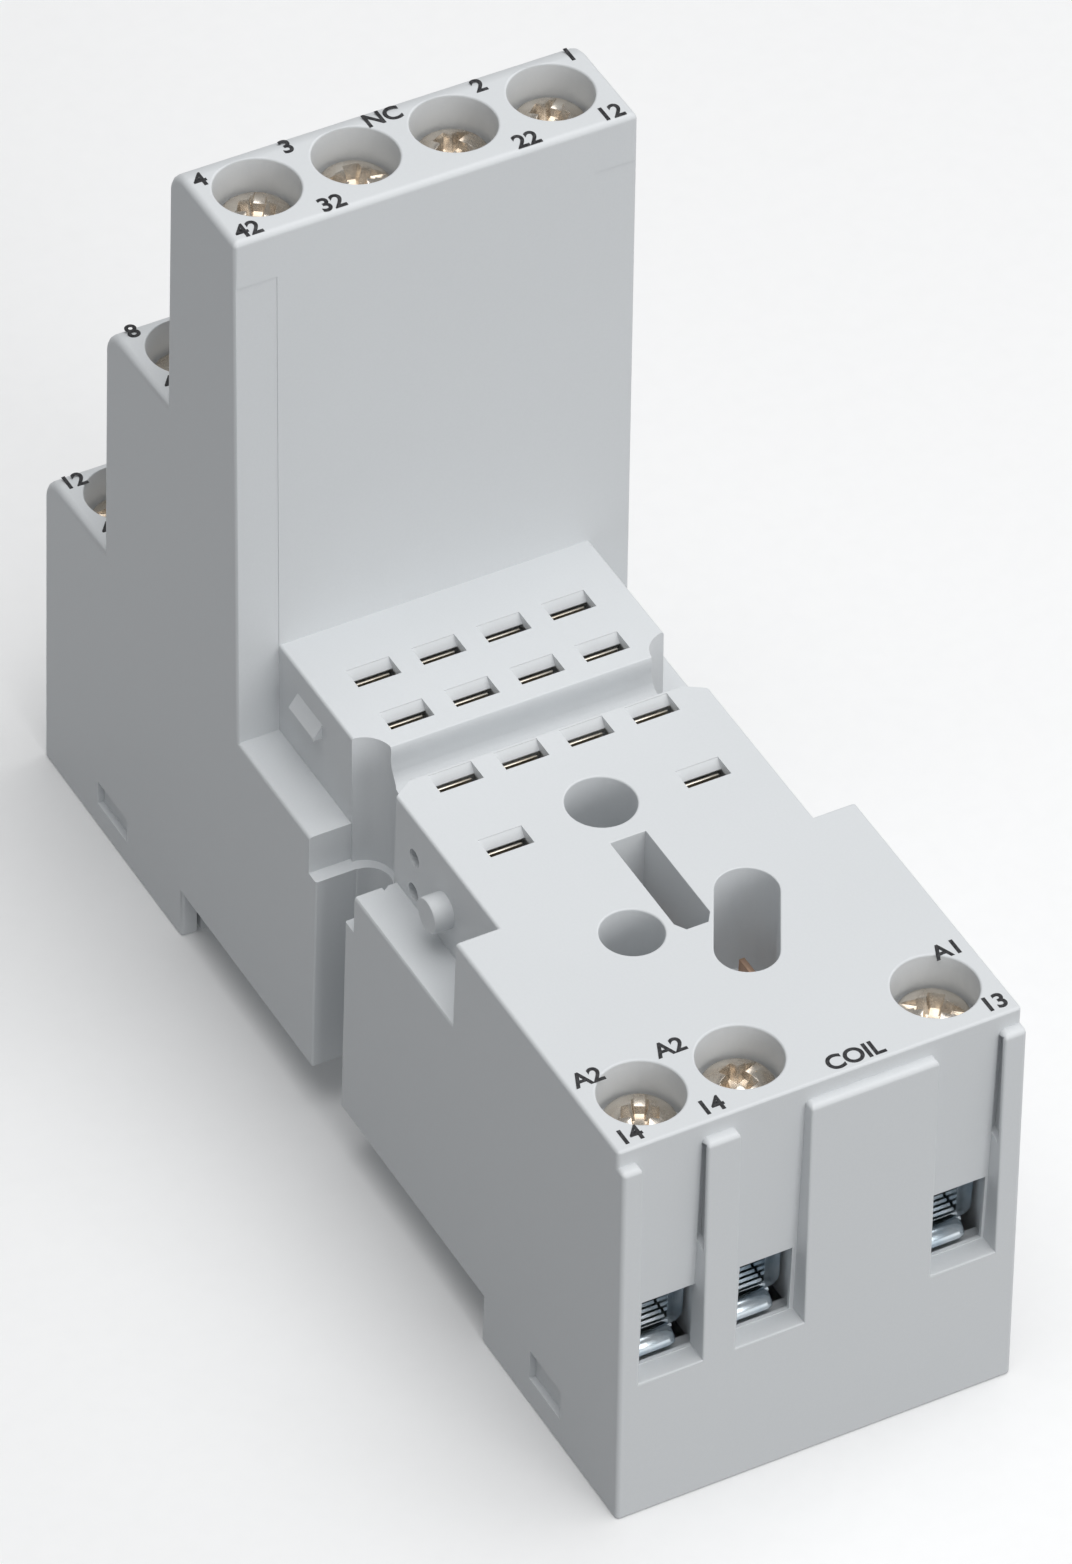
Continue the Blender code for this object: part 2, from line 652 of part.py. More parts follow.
def coil_strip(name, pin_x, columns):
    """The strip from a coil pin forward to one or two coil terminals."""
    low_z = DECK_Z - BAR_DEPTH - BAR_T
    high_z = low_z + BAR_T
    boxes = fork(pin_x, COIL_PIN_Y, low_z)
    boxes.append(((pin_x - STRIP, 13.0, low_z), (pin_x + STRIP, COIL_PIN_Y + 0.3, high_z)))
    low_x, high_x = min(pin_x, *columns) - STRIP, max(pin_x, *columns) + STRIP
    boxes.append(((low_x, 12.6, low_z), (high_x, 15.0, high_z)))
    boxes += [((x - STRIP, FACE_Y + WALL + 0.5, low_z), (x + STRIP, 13.5, high_z)) for x in columns]
    return fused(name, boxes)


def module_contact_mesh():
    """A springy tongue in the module well, standing in a slit in the well's floor."""
    tongue = box(bmesh.new(), (-0.2, -1.5, 18.8), (0.2, 1.5, 23.2))
    tail = box(bmesh.new(), (-0.2, -0.6, 17.6), (0.2, 0.6, 19.0))
    return combined("module_contact", tongue, [("UNION", tail)])


# ---------------------------------------------------------------- the socket
def clear_scene():
    for thing in list(bpy.data.objects):
        bpy.data.objects.remove(thing)


def build():
    clear_scene()
    shell = material("grey_polycarbonate", (0.62, 0.64, 0.64), 0.55)
    base = material("base_grey", (0.5, 0.52, 0.52), 0.6)
    latch = material("latch_grey", (0.35, 0.37, 0.38), 0.5)
    nickel = material("nickel_plate", (0.72, 0.69, 0.64), 0.3, 1.0)
    zinc = material("zinc_plate", (0.6, 0.66, 0.7), 0.35, 1.0)
    bronze = material("contact_bronze", (0.7, 0.55, 0.33), 0.35, 1.0)

    socket = bpy.data.objects.new("socket", None)
    bpy.context.scene.collection.objects.link(socket)
    socket.location = (0, -LENGTH / 2 * MM, 0)

    place("housing", housing_mesh(), shell, socket)
    place("base_cover", base_cover_mesh(), base, socket)
    place("rail_latch", rail_latch_mesh(), latch, socket, (0, RAIL_BACK_Y, 0))

    screw, front_cage, back_cage = screw_mesh(), cage_mesh(-1), cage_mesh(1)
    for name, x, y, top in terminals():
        cage = front_cage if name in COIL_TERMINALS else back_cage
        place(f"screw_{name}", screw, nickel, socket, (x, y, top - SCREW_HEAD_DEPTH))
        place(f"clamp_cage_{name}", cage, zinc, socket, (x, y, top))

    for row, (_, _, _, digit) in ROWS.items():
        for k, (pin_x, column_x) in enumerate(zip(PINS, COLUMNS)):
            name = f"contact_{4 - k}{digit}"
            place(name, pole_strip(name, row, pin_x, column_x), bronze, socket)
    place("contact_A2", coil_strip("contact_A2", PINS[0], COLUMNS[:2]), bronze, socket)
    place("contact_A1", coil_strip("contact_A1", PINS[3], COLUMNS[3:]), bronze, socket)

    tongue = module_contact_mesh()
    for k, (x, y) in enumerate(MODULE_CONTACTS):
        place(f"module_contact_{k + 1}", tongue, bronze, socket, (x, y, 0))


build()
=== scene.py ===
# %% [markdown]
# # A four-pole relay socket, finished on its CAD frame
#
# The object is the plug-in socket that a 14-pin relay stands in: a light grey moulded housing that
# snaps onto a 35 mm rail. A tower and two lower steps at the back carry twelve screw terminals, a flat
# deck takes the relay's pins, and three more terminals serve its coil at the front.
# The CAD frame fixes where every piece is and how it moves. This lesson keeps those places and makes
# the looks: rounded mouldings, engraved screws, grooved clamps, printed numbers and real finishes.

# %% Load the frame
import math

import bmesh
import bpy
from mathutils import Matrix, Quaternion, Vector


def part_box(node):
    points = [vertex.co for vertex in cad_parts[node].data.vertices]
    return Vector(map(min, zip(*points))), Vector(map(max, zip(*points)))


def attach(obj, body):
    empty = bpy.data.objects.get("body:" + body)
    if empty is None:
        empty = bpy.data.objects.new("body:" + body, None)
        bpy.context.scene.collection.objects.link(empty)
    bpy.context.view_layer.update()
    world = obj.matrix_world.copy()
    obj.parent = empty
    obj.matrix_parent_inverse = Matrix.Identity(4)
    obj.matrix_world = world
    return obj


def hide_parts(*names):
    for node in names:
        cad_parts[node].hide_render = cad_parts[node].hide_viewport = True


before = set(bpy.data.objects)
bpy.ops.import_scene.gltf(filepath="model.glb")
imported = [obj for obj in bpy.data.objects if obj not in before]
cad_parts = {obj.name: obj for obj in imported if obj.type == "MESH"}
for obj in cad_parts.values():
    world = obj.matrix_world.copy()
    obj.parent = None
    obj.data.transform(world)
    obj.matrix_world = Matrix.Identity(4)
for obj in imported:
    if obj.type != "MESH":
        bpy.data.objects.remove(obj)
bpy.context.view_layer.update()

# %% [markdown]
# ## One ruler for the whole lesson
#
# A moulding this small is easier to think about in millimetres, measured as its maker would: x from
# the middle of the width, y back from the coil end, z up from the surface that it stands on. Shapes
# could be typed in metres instead, but every number would start with three zeros. So each piece is
# built on a bench in millimetres and converted once, when it is finished.

# %% The ruler
MM = 0.001
housing_low, housing_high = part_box("housing")
COIL_END = housing_low.y / MM
HALF = housing_high.x / MM
LENGTH = (housing_high.y - housing_low.y) / MM
TOWER_Z = housing_high.z / MM
BENCH_TO_FRAME = Matrix.Scale(MM, 4) @ Matrix.Translation((0, COIL_END, 0))
DECK_Z, MIDDLE_Z, LOW_Z = 28.8, 41.8, 23.7


def bench_box(node):
    """A CAD node's lowest and highest corner, in millimetres from the coil end."""
    low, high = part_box(node)
    return [corner / MM - Vector((0, COIL_END, 0)) for corner in (low, high)]


def terminal_places():
    """The name of every terminal, with its axis and the height of the face round its hole."""
    faces = {"1": LOW_Z, "2": TOWER_Z, "4": MIDDLE_Z}
    places = {}
    for node in sorted(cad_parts):
        if node.startswith("screw_"):
            low, high = bench_box(node)
            top = DECK_Z if "A" in node else faces[node[-1]]
            places[node[6:]] = Vector(((low.x + high.x) / 2, (low.y + high.y) / 2, top))
    return places


TERMINALS = terminal_places()
COIL_TERMINALS = [name for name in TERMINALS if name.startswith("A")]
print(round(2 * HALF, 2), "x", round(LENGTH, 2), "x", round(TOWER_Z, 2), "mm, terminals", sorted(TERMINALS))

# %% [markdown]
# ## The camera
#
# The socket is looked down on from its coil end, a little from its left. A long lens from well back
# keeps the uprights almost parallel, as in a product picture. A constraint could aim the camera, but a
# direction worked out from an azimuth, an elevation and a slight roll is exact and needs no target.

# %% Camera
AZIMUTH, ELEVATION, ROLL = -30.10, 42.715, 2.277
STANDPOINT = Vector((-0.25710, -0.44484, 0.49727))

camera_data = bpy.data.cameras.new("camera")
camera_data.lens = 267.31
camera_data.clip_start, camera_data.clip_end = 0.05, 20
camera = bpy.data.objects.new("camera", camera_data)
bpy.context.scene.collection.objects.link(camera)
azimuth, elevation = math.radians(AZIMUTH), math.radians(ELEVATION)
level = math.cos(elevation)
towards = Vector((-math.sin(azimuth) * level, math.cos(azimuth) * level, -math.sin(elevation)))
camera.location = STANDPOINT
camera.rotation_mode = "QUATERNION"
camera.rotation_quaternion = towards.to_track_quat("-Z", "Y") @ Quaternion((0, 0, 1), math.radians(ROLL))
bpy.context.scene.camera = camera
print("camera looks along", [round(c, 3) for c in towards])

# %% [markdown]
# ## Light and floor
#
# Pale grey plastic shows its form only if its faces get different amounts of light. The real set-up
# is a big softbox overhead, a weaker one in front and almost nothing on the left, so the top is near
# white, the coil end is light grey and the left side is clearly darker. A lit floor would throw light
# back on that side, so the floor takes shadows but is left out of the diffuse bounces.

# %% Stage
def softbox(name, place, target, size, watts):
    light = bpy.data.lights.new(name, "AREA")
    light.shape = "RECTANGLE"
    light.size, light.size_y = size
    light.energy = watts
    lamp = bpy.data.objects.new(name, light)
    bpy.context.scene.collection.objects.link(lamp)
    lamp.location = place
    lamp.rotation_mode = "QUATERNION"
    lamp.rotation_quaternion = (Vector(target) - Vector(place)).to_track_quat("-Z", "Y")
    return lamp


softbox("overhead", (0.05, -0.10, 0.80), (0, 0, 0.02), (0.8, 0.8), 4.95)
softbox("front_fill", (0.10, -0.75, 0.28), (0, 0, 0.03), (0.5, 0.4), 2.0)
softbox("right_fill", (0.7, 0.1, 0.3), (0, 0, 0.03), (0.4, 0.4), 0.8)

world = bpy.data.worlds.new("studio")
world.use_nodes = True
world.node_tree.nodes["Background"].inputs["Color"].default_value = (0.96, 0.98, 1.0, 1)
world.node_tree.nodes["Background"].inputs["Strength"].default_value = 0.275
bpy.context.scene.world = world
bpy.context.scene.view_settings.view_transform = "Standard"

FLOOR_REACH = 6.0
floor_mesh = bpy.data.meshes.new("floor")
floor_shape = bmesh.new()
bmesh.ops.create_grid(floor_shape, x_segments=1, y_segments=1, size=FLOOR_REACH)
floor_shape.to_mesh(floor_mesh)
floor_shape.free()
floor = bpy.data.objects.new("floor", floor_mesh)
bpy.context.scene.collection.objects.link(floor)
floor.visible_diffuse = False
print("three softboxes, a studio world and a floor")

# %% [markdown]
# ## Writing a surface as sums
#
# A finish is a sum of small causes: flow lines, spark-eroded grain, dust and rubbed edges. Wiring Math
# nodes by hand hides that sum, so one small class wraps a node's socket and turns + - * and / into
# Math nodes, and one method makes any other node from its type, settings and sockets.

# %% Sockets that add up
class Wire:
    """A number that varies over a surface: the output socket of a node."""

    def __init__(self, finish, socket):
        self.finish, self.socket = finish, socket

    def maths(self, operation, first, second):
        return self.finish.node("ShaderNodeMath", {"operation": operation}, {0: first, 1: second})

    def __add__(self, other):
        return self.maths("ADD", self, other)

    def __sub__(self, other):
        return self.maths("SUBTRACT", self, other)

    def __rsub__(self, other):
        return self.maths("SUBTRACT", other, self)

    def __mul__(self, other):
        return self.maths("MULTIPLY", self, other)

    def __truediv__(self, other):
        return self.maths("DIVIDE", self, other)

    __radd__, __rmul__ = __add__, __mul__


class Finish:
    """A material, its nodes and its Principled surface."""

    def __init__(self, name, **surface):
        self.material = bpy.data.materials.new(name)
        self.material.use_nodes = True
        self.tree = self.material.node_tree
        self.surface = self.tree.nodes["Principled BSDF"]
        self.give(self.surface, {key.replace("_", " "): value for key, value in surface.items()})

    def give(self, node, sockets):
        """Sets or links the sockets of a node, each by its name or number."""
        for key, value in sockets.items():
            socket = node.inputs[key]
            if isinstance(value, Wire):
                self.tree.links.new(value.socket, socket)
            elif socket.type == "RGBA":
                socket.default_value = (*value, 1)
            else:
                socket.default_value = value

    def node(self, kind, settings=None, sockets=None, output=0):
        made = self.tree.nodes.new(kind)
        for key, value in (settings or {}).items():
            if key == "stops":
                for element, (position, level) in zip(made.color_ramp.elements, value):
                    element.position, element.color = position, (level, level, level, 1)
            else:
                setattr(made, key, value)
        self.give(made, sockets or {})
        return Wire(self, made.outputs[output])

    def object_place(self):
        return self.node("ShaderNodeTexCoord", output="Object")

    def noise(self, size, detail=2.0, stretch=(1, 1, 1)):
        """Noise from 0 to 1 whose blotches are about size millimetres across."""
        place = self.node("ShaderNodeMapping", None, {"Vector": self.object_place(), "Scale": stretch})
        sockets = {"Vector": place, "Scale": 1 / (size * MM), "Detail": detail}
        return self.node("ShaderNodeTexNoise", None, sockets)

    def step(self, value, low, high):
        """0 below low and 1 above high."""
        return self.node("ShaderNodeValToRGB", {"stops": [(low, 0), (high, 1)]}, {0: value})

    def mix(self, share, first, second):
        sockets = {0: share, 6: first, 7: second}
        return self.node("ShaderNodeMix", {"data_type": "RGBA"}, sockets, output=2)

    def bump(self, height, depth, strength=1.0):
        """A bump of that many millimetres."""
        sockets = {"Height": height, "Distance": depth * MM, "Strength": strength}
        return self.node("ShaderNodeBump", None, sockets)

    def finish(self, **sockets):
        self.give(self.surface, {key.replace("_", " "): value for key, value in sockets.items()})
        return self.material


print("a surface can now be written as a sum")

# %% [markdown]
# ## Moulded plastic
#
# The housing is glass-filled polycarbonate: matt from a spark-eroded mould, faintly clouded where the
# melt met, a touch paler and chipped along its edges. An image could carry that, but it would need an
# unwrap. Noise at three real sizes, in millimetres on Object coordinates, needs none and never repeats.

# %% Plastic finishes
def moulded(name, colour, rough=0.42, wear=0.0):
    """Moulded plastic of that colour; wear lightens it in small flecks, as along an edge."""
    made = Finish(name, IOR=1.5)
    cloud = made.noise(14, 3)
    grain = made.noise(0.16, 2)
    fleck = made.step(made.noise(0.8, 4), 0.52, 0.72)
    shade = [channel * 0.955 for channel in colour]
    light = [min(1.0, channel * 1.03) for channel in colour]
    worn = [min(0.86, channel * 1.12) for channel in colour]
    base = made.mix(cloud * 0.5 + grain * 0.5, shade, light)
    if wear:
        base = made.mix(fleck * wear, base, worn)
    roughness = rough + cloud * 0.06 + grain * 0.08
    return made.finish(Base_Color=base, Roughness=roughness, Normal=made.bump(grain, 0.006, 0.5))


GREY = (0.70, 0.72, 0.735)
plastic = moulded("moulded_grey", GREY)
plastic_edge = moulded("moulded_grey_edge", [channel * 1.03 for channel in GREY], 0.38, 0.7)
base_plastic = moulded("base_grey", (0.56, 0.58, 0.59), 0.46)
latch_plastic = moulded("latch_grey", (0.33, 0.35, 0.36), 0.40)
print("plastics:", plastic.name, plastic_edge.name, base_plastic.name, latch_plastic.name)

# %% [markdown]
# ## Plated metals and ink
#
# The screws are nickel-plated steel with a warm, champagne tone; the clamps are bright zinc with the
# bluish cast of passivation; the contacts are tinned bronze. Each plating is a metal whose colour
# drifts a little and whose roughness drifts more, because polish changes faster than colour.

# %% Metal finishes
def plated(name, pale, deep, rough, scratch=0.0, patch=1.6):
    """A plated metal that drifts between two tones, with fine scratches if it was tumbled."""
    made = Finish(name, Metallic=1.0)
    tone = made.noise(patch, 3)
    fine = made.noise(0.12, 3, (1, 1, 4))
    base = made.mix(made.step(tone, 0.35, 0.65), pale, deep)
    roughness = rough + tone * 0.10 + fine * 0.10
    return made.finish(Base_Color=base, Roughness=roughness, Normal=made.bump(fine, 0.004, scratch))


nickel = plated("champagne_nickel", (0.83, 0.77, 0.69), (0.66, 0.58, 0.49), 0.16, 0.5)
zinc = plated("blue_zinc", (0.80, 0.86, 0.90), (0.52, 0.62, 0.70), 0.10, 0.35)
bronze = plated("tinned_bronze", (0.86, 0.81, 0.72), (0.70, 0.63, 0.52), 0.24, 0.3)
copper = plated("bare_tongue", (0.80, 0.55, 0.40), (0.62, 0.38, 0.26), 0.28, 0.3)


def printed_ink():
    """Pad-printed black, thin enough for the grain to show through in places."""
    made = Finish("printed_black")
    thin = made.step(made.noise(0.18, 3), 0.42, 0.70)
    base = made.mix(thin * 0.5, (0.012, 0.012, 0.014), (0.10, 0.10, 0.105))
    return made.finish(Base_Color=base, Roughness=0.45 + thin * 0.25)


def paper_floor():
    made = Finish("paper_floor")
    tooth = made.noise(1.5, 3)
    base = made.mix(tooth, (0.93, 0.93, 0.93), (0.96, 0.96, 0.96))
    return made.finish(Base_Color=base, Roughness=0.9 + tooth * 0.1)


ink = printed_ink()
floor_mesh.materials.append(paper_floor())
print("metals:", nickel.name, zinc.name, bronze.name, copper.name)

# %% [markdown]
# ## Bench tools for solid shapes
#
# A moulding is a block with pieces taken away, so its model is a few outlines, lofts and Booleans.
# A loft joins rings of points; an outline pushed along an axis is the simplest loft; and a hole whose
# rim is rounded is a loft that flares in a quarter circle. Sculpting could round the rims afterwards,
# but a flared cutter gives the same small radius to every hole in one cut.

# %% Lofts and outlines
def loft(shape, rings):
    """A closed skin through rings of points, capped at both ends."""
    made = [[shape.verts.new(point) for point in ring] for ring in rings]
    shape.faces.new(made[0])
    shape.faces.new(made[-1])
    for lower, upper in zip(made, made[1:]):
        for k in range(len(lower)):
            after = (k + 1) % len(lower)
            shape.faces.new((lower[k], lower[after], upper[after], upper[k]))
    return shape


def prism(shape, outline, low, high, axis="X"):
    """An outline of (y, z) pushed along X, of (x, z) along Y or of (x, y) along Z."""
    turned = {"X": lambda a, b, c: (c, a, b), "Y": lambda a, b, c: (a, c, b),
              "Z": lambda a, b, c: (a, b, c)}
    return loft(shape, [[turned[axis](a, b, c) for a, b in outline] for c in (low, high)])


def box(shape, low, high):
    outline = [(low[0], low[1]), (high[0], low[1]), (high[0], high[1]), (low[0], high[1])]
    return prism(shape, outline, low[2], high[2], "Z")


def arc(x, y, radius, steps, start=0.0, turn=2 * math.pi):
    """Points on a circle, or on an arc of it with both of its ends."""
    count = steps if turn == 2 * math.pi else steps + 1
    angles = [start + turn * k / steps for k in range(count)]
    return [(x + radius * math.cos(a), y + radius * math.sin(a)) for a in angles]


def grown(outline, amount):
    """A convex outline with each side moved outwards by the same amount."""
    area = sum(a[0] * b[1] - b[0] * a[1] for a, b in zip(outline, outline[1:] + outline[:1]))
    points = [Vector(point) for point in outline]
    moved = []
    for before, here, after in zip(points[-1:] + points[:-1], points, points[1:] + points[:1]):
        sides = [(here - before).normalized(), (after - here).normalized()]
        normals = [Vector((side.y, -side.x)) * (1 if area > 0 else -1) for side in sides]
        moved.append(here + (normals[0] + normals[1]) * amount / (1 + normals[0].dot(normals[1])))
    return moved


def flared(shape, outline, depth, rim, at):
    """A cutter for a hole with a rounded rim. at(a, b, d) is the outline's point (a, b) at depth d."""
    turns = [math.pi / 8 * k for k in range(5)]
    levels = [(0.0, depth)]
    levels += [(rim * (1 - math.cos(t)), rim * (1 - math.sin(t))) for t in turns] + [(rim, -0.8)]
    return loft(shape, [[at(a, b, d) for a, b in grown(outline, growth)] for growth, d in levels])


def lathe(shape, profile, sides):
    """A turned solid about z from (radius, z) points; both ends lie on the axis."""
    rings = []
    for radius, z in profile:
        count = sides if radius else 1
        rings.append([shape.verts.new((x, y, z)) for x, y in arc(0, 0, radius, sides)[:count]])
    for lower, upper in zip(rings, rings[1:]):
        for k in range(sides):
            after = (k + 1) % sides
            corners = [lower[k % len(lower)], lower[after % len(lower)]]
            corners += [upper[after % len(upper)], upper[k % len(upper)]]
            shape.faces.new(list(dict.fromkeys(corners)))
    return shape


print("bench tools: loft, prism, box, flared, lathe")


# %% Booleans on the bench
def on_bench(name, shape):
    """A bench object in millimetres, with its faces turned outwards."""
    bmesh.ops.recalc_face_normals(shape, faces=shape.faces)
    mesh = bpy.data.meshes.new(name)
    shape.to_mesh(mesh)
    shape.free()
    made = bpy.data.objects.new(name, mesh)
    bpy.context.scene.collection.objects.link(made)
    return made


def settled(body):
    """Replaces a body's mesh by what its modifiers make of it."""
    graph = bpy.context.evaluated_depsgraph_get()
    mesh = bpy.data.meshes.new_from_object(body.evaluated_get(graph))
    body.modifiers.clear()
    body.data = mesh
    return body


def worked(body, steps):
    """A body after its Booleans, given as (operation, shape)."""
    tools = []
    for operation, shape in steps:
        tool = on_bench(f"{body.name}_tool", shape)
        tools.append(tool)
        cut = body.modifiers.new(operation, "BOOLEAN")
        cut.operation, cut.solver, cut.object = operation, "EXACT", tool
    settled(body)
    for tool in tools:
        bpy.data.objects.remove(tool)
    return body


def flattened(body, angle=0.4):
    """Merges the coplanar faces that Booleans leave, so that a bevel meets clean edges."""
    shape = bmesh.new()
    shape.from_mesh(body.data)
    bmesh.ops.remove_doubles(shape, verts=shape.verts, dist=0.0005)
    bmesh.ops.dissolve_limit(shape, angle_limit=math.radians(angle), verts=shape.verts, edges=shape.edges)
    shape.to_mesh(body.data)
    shape.free()
    return body


def rounded(body, width, segments=3, finish_index=-1, weighted=True):
    """Bevels a body's edges: those with a weight, or all that turn by more than 30 degrees."""
    bevel = body.modifiers.new("rounding", "BEVEL")
    bevel.limit_method = "WEIGHT" if weighted else "ANGLE"
    bevel.angle_limit = math.radians(30)
    bevel.width, bevel.segments = width, segments
    bevel.use_clamp_overlap = not weighted
    bevel.material = finish_index
    bevel.miter_outer = "MITER_SHARP"
    return settled(body)


def finished(body, name, materials, sharp=32):
    """Smooths a bench body, moves it into the frame in metres and gives it its finishes."""
    body.name = body.data.name = name
    body.data.transform(BENCH_TO_FRAME)
    body.data.materials.clear()
    for material in materials:
        body.data.materials.append(material)
    body.data.shade_smooth()
    body.data.set_sharp_from_angle(angle=math.radians(sharp))
    body.modifiers.new("flat_faces", "WEIGHTED_NORMAL").keep_sharp = True
    return settled(body)


print("bench Booleans are ready")

# %% [markdown]
# ## The housing's outside
#
# Seen from its side the housing is one outline: a coil block, a neck, the relay's seat, the tall tower
# and two steps down to the back. Pushed across the width, it becomes a slab. Booleans then cut away
# the ledges beside the neck, the gaps that let the base flex over the rail, and the wire channels.

# %% Heights and lengths of the housing
LEDGE_Z = 22.1
NOTCH_Z = 19.2
ROOF_Z = 3.7
FACE_Y = 1.85
NECK_Y = 21.6
BLOCK_Y = 35.3
SEAT_Y = 38.2
TOWER_FOOT_Y, TOWER_Y = 48.99, 50.5
TOWER_BACK_Y = 58.8
MIDDLE_BACK_Y = 66.9
RAIL_FRONT_Y, RAIL_BACK_Y = 16.75, 56.05
NECK = 10.65
WALL = 1.4
BACK_ROUND = 1.9
PANEL_LEAN, PANEL_Z = 1.1, 27.6
CHANNELS = [(-12.15, -7.85), (-5.65, -1.0), (7.6, 12.0)]
CHANNEL_FLOOR = 10.5


def tower_front(z):
    """The tower's front face leans back as it rises."""
    return TOWER_FOOT_Y + (TOWER_Y - TOWER_FOOT_Y) * (z - LEDGE_Z) / (TOWER_Z - LEDGE_Z)


def back_edge(y, z):
    """The rounded top rear edge of a step whose sharp corner would be at (y, z)."""
    return arc(y - BACK_ROUND, z - BACK_ROUND, BACK_ROUND, 12, 0, math.pi / 2)


def side_outline():
    sweep = arc(SEAT_Y - 1.6, DECK_Z - 1.0, 1.6, 8, 0, -math.pi / 2)
    low_steps = [(FACE_Y, 0), (RAIL_FRONT_Y, 0), (RAIL_FRONT_Y, ROOF_Z)]
    low_steps += [(RAIL_BACK_Y, ROOF_Z), (RAIL_BACK_Y, 0)]
    back = [(LENGTH, 0), *back_edge(LENGTH, LOW_Z)]
    back += [(MIDDLE_BACK_Y, LOW_Z), *back_edge(MIDDLE_BACK_Y, MIDDLE_Z)]
    tower = [(TOWER_BACK_Y, MIDDLE_Z), *back_edge(TOWER_BACK_Y, TOWER_Z), (TOWER_Y, TOWER_Z)]
    tower.append((tower_front(DECK_Z), DECK_Z))
    deck = [(SEAT_Y, DECK_Z), *sweep, (BLOCK_Y, DECK_Z - 2.6), (BLOCK_Y, DECK_Z), (FACE_Y, DECK_Z)]
    return low_steps + back + tower + deck


# %% Cutters for the outside
def leaning_panel():
    outline = [(0, 0), (FACE_Y + 2, 0), (FACE_Y + 2, PANEL_Z), (PANEL_LEAN, PANEL_Z)]
    return prism(bmesh.new(), outline, -HALF, HALF)


def wire_channels():
    shape = bmesh.new()
    for low, high in CHANNELS:
        box(shape, (low, -1, CHANNEL_FLOOR), (high, FACE_Y, DECK_Z + 1))
    return shape


def side_steps():
    """The ledges and channels beside the neck and the seat."""
    ledge = [(NECK_Y, LEDGE_Z), (33.9, LEDGE_Z), (33.9, NOTCH_Z), (39.7, NOTCH_Z), (39.7, LEDGE_Z)]
    top = [(tower_front(LEDGE_Z), LEDGE_Z), (tower_front(DECK_Z), DECK_Z)]
    top += [(TOWER_FOOT_Y - 1, DECK_Z + 1), (NECK_Y, DECK_Z + 1)]
    shape = bmesh.new()
    for low, high in ((-HALF - 1, -NECK), (NECK, HALF + 1)):
        prism(shape, ledge + top, low, high)
    return shape


def side_gaps():
    shape = bmesh.new()
    for side in (-1, 1):
        inner, outer = side * (HALF - 2.75), side * (HALF + 1)
        outline = arc(inner, 37.2, 1.5, 20, -math.pi / 2, side * -math.pi)
        outline += [(inner, 38.75), (outer, 38.75), (outer, 35.0), (inner, 35.0)]
        prism(shape, outline, -1, NOTCH_Z + 0.5, "Z")
    return shape


def seat_corners():
    """Hollow rounds, a little drafted, at the seat's front corners."""
    shape = bmesh.new()
    radius, draft = 1.87, 0.55
    for side in (-1, 1):
        x, y = side * (NECK + 0.1), SEAT_Y - 0.1
        levels = [(y - draft, NOTCH_Z), (y, DECK_Z + 1)]
        loft(shape, [[(a, b, z) for a, b in arc(x, middle, radius, 40)] for middle, z in levels])
    return shape


def block_corners():
    """Bevels on the coil block's rear corners, open to the seat's hollow rounds."""
    shape = bmesh.new()
    inner, outer, back = NECK - 1.6, NECK + 1, SEAT_Y - 0.6
    for side in (-1, 1):
        outline = [(inner, BLOCK_Y), (outer, BLOCK_Y - 1.69), (outer, back), (inner, back)]
        prism(shape, [(side * x, y) for x, y in outline], NOTCH_Z, DECK_Z + 1, "Z")
    return shape


housing = on_bench("housing_moulding", prism(bmesh.new(), side_outline(), -HALF, HALF))
outside = [("UNION", leaning_panel())]
CUTTERS = (wire_channels, side_steps, side_gaps, seat_corners, block_corners)
outside += [("DIFFERENCE", cutter()) for cutter in CUTTERS]
flattened(worked(housing, outside))
print("outside:", len(housing.data.polygons), "faces before rounding")

# %% [markdown]
# ## Rounding the mould's edges
#
# No edge of a moulding is sharp, and these radii catch the light: nearly half a millimetre along the
# steps and down the rear corners, half that elsewhere, and nothing where a core slid out.
# One Bevel with a weight on each edge rounds them all and blends where different radii meet. The
# strips that it makes take a second, slightly worn finish.

# %% Edge weights
WIDEST = 1.0


def along_the_steps(point):
    """Whether a point of the side's outline is on a terminal face, a rear upright or their round."""
    steps = [(LENGTH, 0, LOW_Z), (MIDDLE_BACK_Y, LOW_Z, MIDDLE_Z), (TOWER_BACK_Y, MIDDLE_Z, TOWER_Z)]
    on_top = any(abs(point.z - high) < 0.01 for _, _, high in steps)
    return on_top or any(low < point.z < high and point.y > y - BACK_ROUND for y, low, high in steps)


